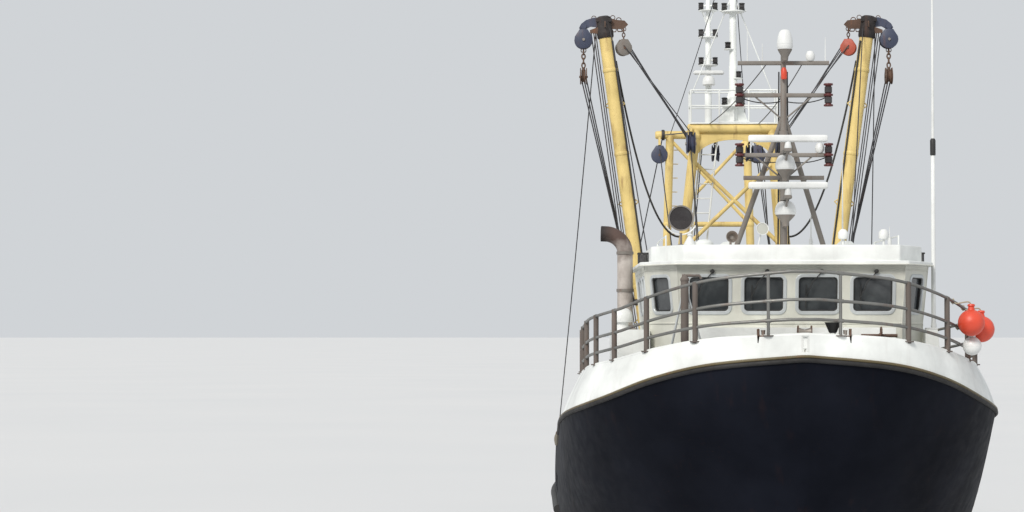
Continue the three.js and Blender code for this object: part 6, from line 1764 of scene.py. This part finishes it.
class TRAWLER_OT_house(bpy.types.Operator):
    """Builds the wheelhouse roof, glazing, trim, roof fittings, exhaust and tall aerial"""

    bl_idname = "trawler.house"
    bl_label = "Build the wheelhouse"

    def execute(self, context):
        return build(roof_pieces, glazing_pieces, house_trim_pieces, roof_fitting_pieces, exhaust_pieces,
                     aerial_pieces)


class TRAWLER_OT_mast(bpy.types.Operator):
    """Builds the radar mast, radomes and scanners"""

    bl_idname = "trawler.mast"
    bl_label = "Build the radar mast"

    def execute(self, context):
        return build(mast_pieces, radar_pieces)


class TRAWLER_OT_spars(bpy.types.Operator):
    """Builds the gantries, booms and blocks"""

    bl_idname = "trawler.spars"
    bl_label = "Build the gantries and booms"

    def execute(self, context):
        build(gantry_pieces, gantry_top_pieces, stern_gantry_pieces, stern_mast_pieces)
        for (name, k), builder in product(SIDES, (boom_pieces, step_pieces, block_pieces, falls_pieces)):
            builder(name, k)
        return {"FINISHED"}


class TRAWLER_OT_rigging(bpy.types.Operator):
    """Strings the wires"""

    bl_idname = "trawler.rigging"
    bl_label = "String the rigging"

    def execute(self, context):
        return build(rigging_pieces)


class TRAWLER_OT_deck(bpy.types.Operator):
    """Builds the rail, windlass, winch, bollards, fenders, hatch and ladder"""

    bl_idname = "trawler.deck"
    bl_label = "Build the deck gear"

    def execute(self, context):
        return build(rail_pieces, windlass_pieces, foredeck_fitting_pieces, chock_pieces, fender_pieces,
                     winch_pieces, hatch_pieces, ladder_pieces)


class TRAWLER_OT_paint(bpy.types.Operator):
    """Gives every CAD node its finish"""

    bl_idname = "trawler.paint"
    bl_label = "Paint the ship"

    def execute(self, context):
        make_finishes()
        slots = {row["node"]: row["material_slot"] for row in frame["record"]["subparts"]}
        for name, node in frame["nodes"].items():
            node.data.materials.clear()
            node.data.materials.append(FINISHES[SLOT_FINISH[slots[name]]])
        return {"FINISHED"}


class TRAWLER_OT_stage(bpy.types.Operator):
    """Sets the camera, floor and light"""

    bl_idname = "trawler.stage"
    bl_label = "Set the stage"

    def execute(self, context):
        place_camera(settings())
        lay_floor()
        light_stage()
        return {"FINISHED"}


FLOOR_RADIUS = 5000.0
FLOOR_SIDES = 64
SENSOR_WIDTH = 36.0
FOCAL_PIXELS = 2554.0
HORIZON_ROW = 335.0
AXIS_COLUMN = 542.0
STEM_COLUMN = 805.0


def place_camera(chosen):
    """Puts the camera where the photographer stood: ahead of the bow, at rail height."""
    camera = bpy.data.objects.new("Camera", bpy.data.cameras.new("Camera"))
    bpy.context.scene.collection.objects.link(camera)
    camera.data.sensor_width = SENSOR_WIDTH
    camera.data.lens = FOCAL_PIXELS / PHOTO_WIDTH * SENSOR_WIDTH
    camera.data.clip_end = 2.0 * FLOOR_RADIUS
    sideways = (STEM_COLUMN - AXIS_COLUMN) / FOCAL_PIXELS * chosen.eye_distance
    camera.location = (-sideways, aft(0) - chosen.eye_distance, chosen.eye_height)
    tilt = math.atan2(HORIZON_ROW - PHOTO_HEIGHT / 2, FOCAL_PIXELS)
    turn = math.atan2(AXIS_COLUMN - PHOTO_WIDTH / 2, FOCAL_PIXELS)
    camera.rotation_euler = (math.pi / 2 + tilt, 0.0, turn)
    bpy.context.scene.camera = camera


def lay_floor():
    """A wide pale floor at the waterline."""
    ring = circle(FLOOR_RADIUS, FLOOR_SIDES)
    points = np.concatenate([ring, np.zeros((FLOOR_SIDES, 1))], axis=1)
    mesh = bpy.data.meshes.new("floor")
    mesh.from_pydata(points.tolist(), [], [list(range(FLOOR_SIDES))])
    recipe = Recipe("Pale floor")
    shade = recipe.mix(recipe.noise(0.05, 2.0), (0.62, 0.63, 0.64, 1.0), (0.68, 0.68, 0.68, 1.0))
    recipe.into("Base Color", shade)
    recipe.into("Roughness", 0.8)
    mesh.materials.append(recipe.material)
    floor = bpy.data.objects.new("floor", mesh)
    bpy.context.scene.collection.objects.link(floor)


def light_stage():
    """A bright sky, one large soft lamp from ahead on the port side, and plain display colours."""
    world = bpy.data.worlds.new("Sky")
    bpy.context.scene.world = world
    world.use_nodes = True
    back = world.node_tree.nodes["Background"]
    back.inputs["Color"].default_value = (0.93, 0.965, 1.0, 1.0)
    back.inputs["Strength"].default_value = 0.68
    sun = bpy.data.objects.new("Sun", bpy.data.lights.new("Sun", "SUN"))
    sun.data.energy = 2.6
    sun.data.angle = math.radians(18)
    sun.data.color = (1.0, 0.96, 0.9)
    sun.rotation_euler = (math.radians(52), 0.0, math.radians(-28))
    bpy.context.scene.collection.objects.link(sun)
    bpy.context.scene.view_settings.view_transform = "Standard"


class TRAWLER_PT_panel(bpy.types.Panel):
    """The dressing's buttons and settings"""

    bl_label = "Trawler"
    bl_idname = "TRAWLER_PT_panel"
    bl_space_type = "VIEW_3D"
    bl_region_type = "UI"
    bl_category = "Trawler"

    def draw(self, context):
        for name in TrawlerSettings.__annotations__:
            self.layout.prop(context.scene.trawler, name)
        for operator in OPERATORS:
            self.layout.operator(operator.bl_idname)


OPERATORS = (
    TRAWLER_OT_stage,
    TRAWLER_OT_paint,
    TRAWLER_OT_hull,
    TRAWLER_OT_house,
    TRAWLER_OT_mast,
    TRAWLER_OT_spars,
    TRAWLER_OT_rigging,
    TRAWLER_OT_deck,
)
CLASSES = (TrawlerSettings, TRAWLER_PT_panel, *OPERATORS)


def register():
    """Adds the classes and the scene's settings."""
    for made in CLASSES:
        bpy.utils.register_class(made)
    bpy.types.Scene.trawler = PointerProperty(type=TrawlerSettings)


def unregister():
    """Takes the classes and the scene's settings away."""
    del bpy.types.Scene.trawler
    for made in reversed(CLASSES):
        bpy.utils.unregister_class(made)


def main():
    register()
    for operator in OPERATORS:
        group, name = operator.bl_idname.split(".")
        getattr(getattr(bpy.ops, group), name)()
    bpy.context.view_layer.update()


if __name__ == "__main__":
    main()
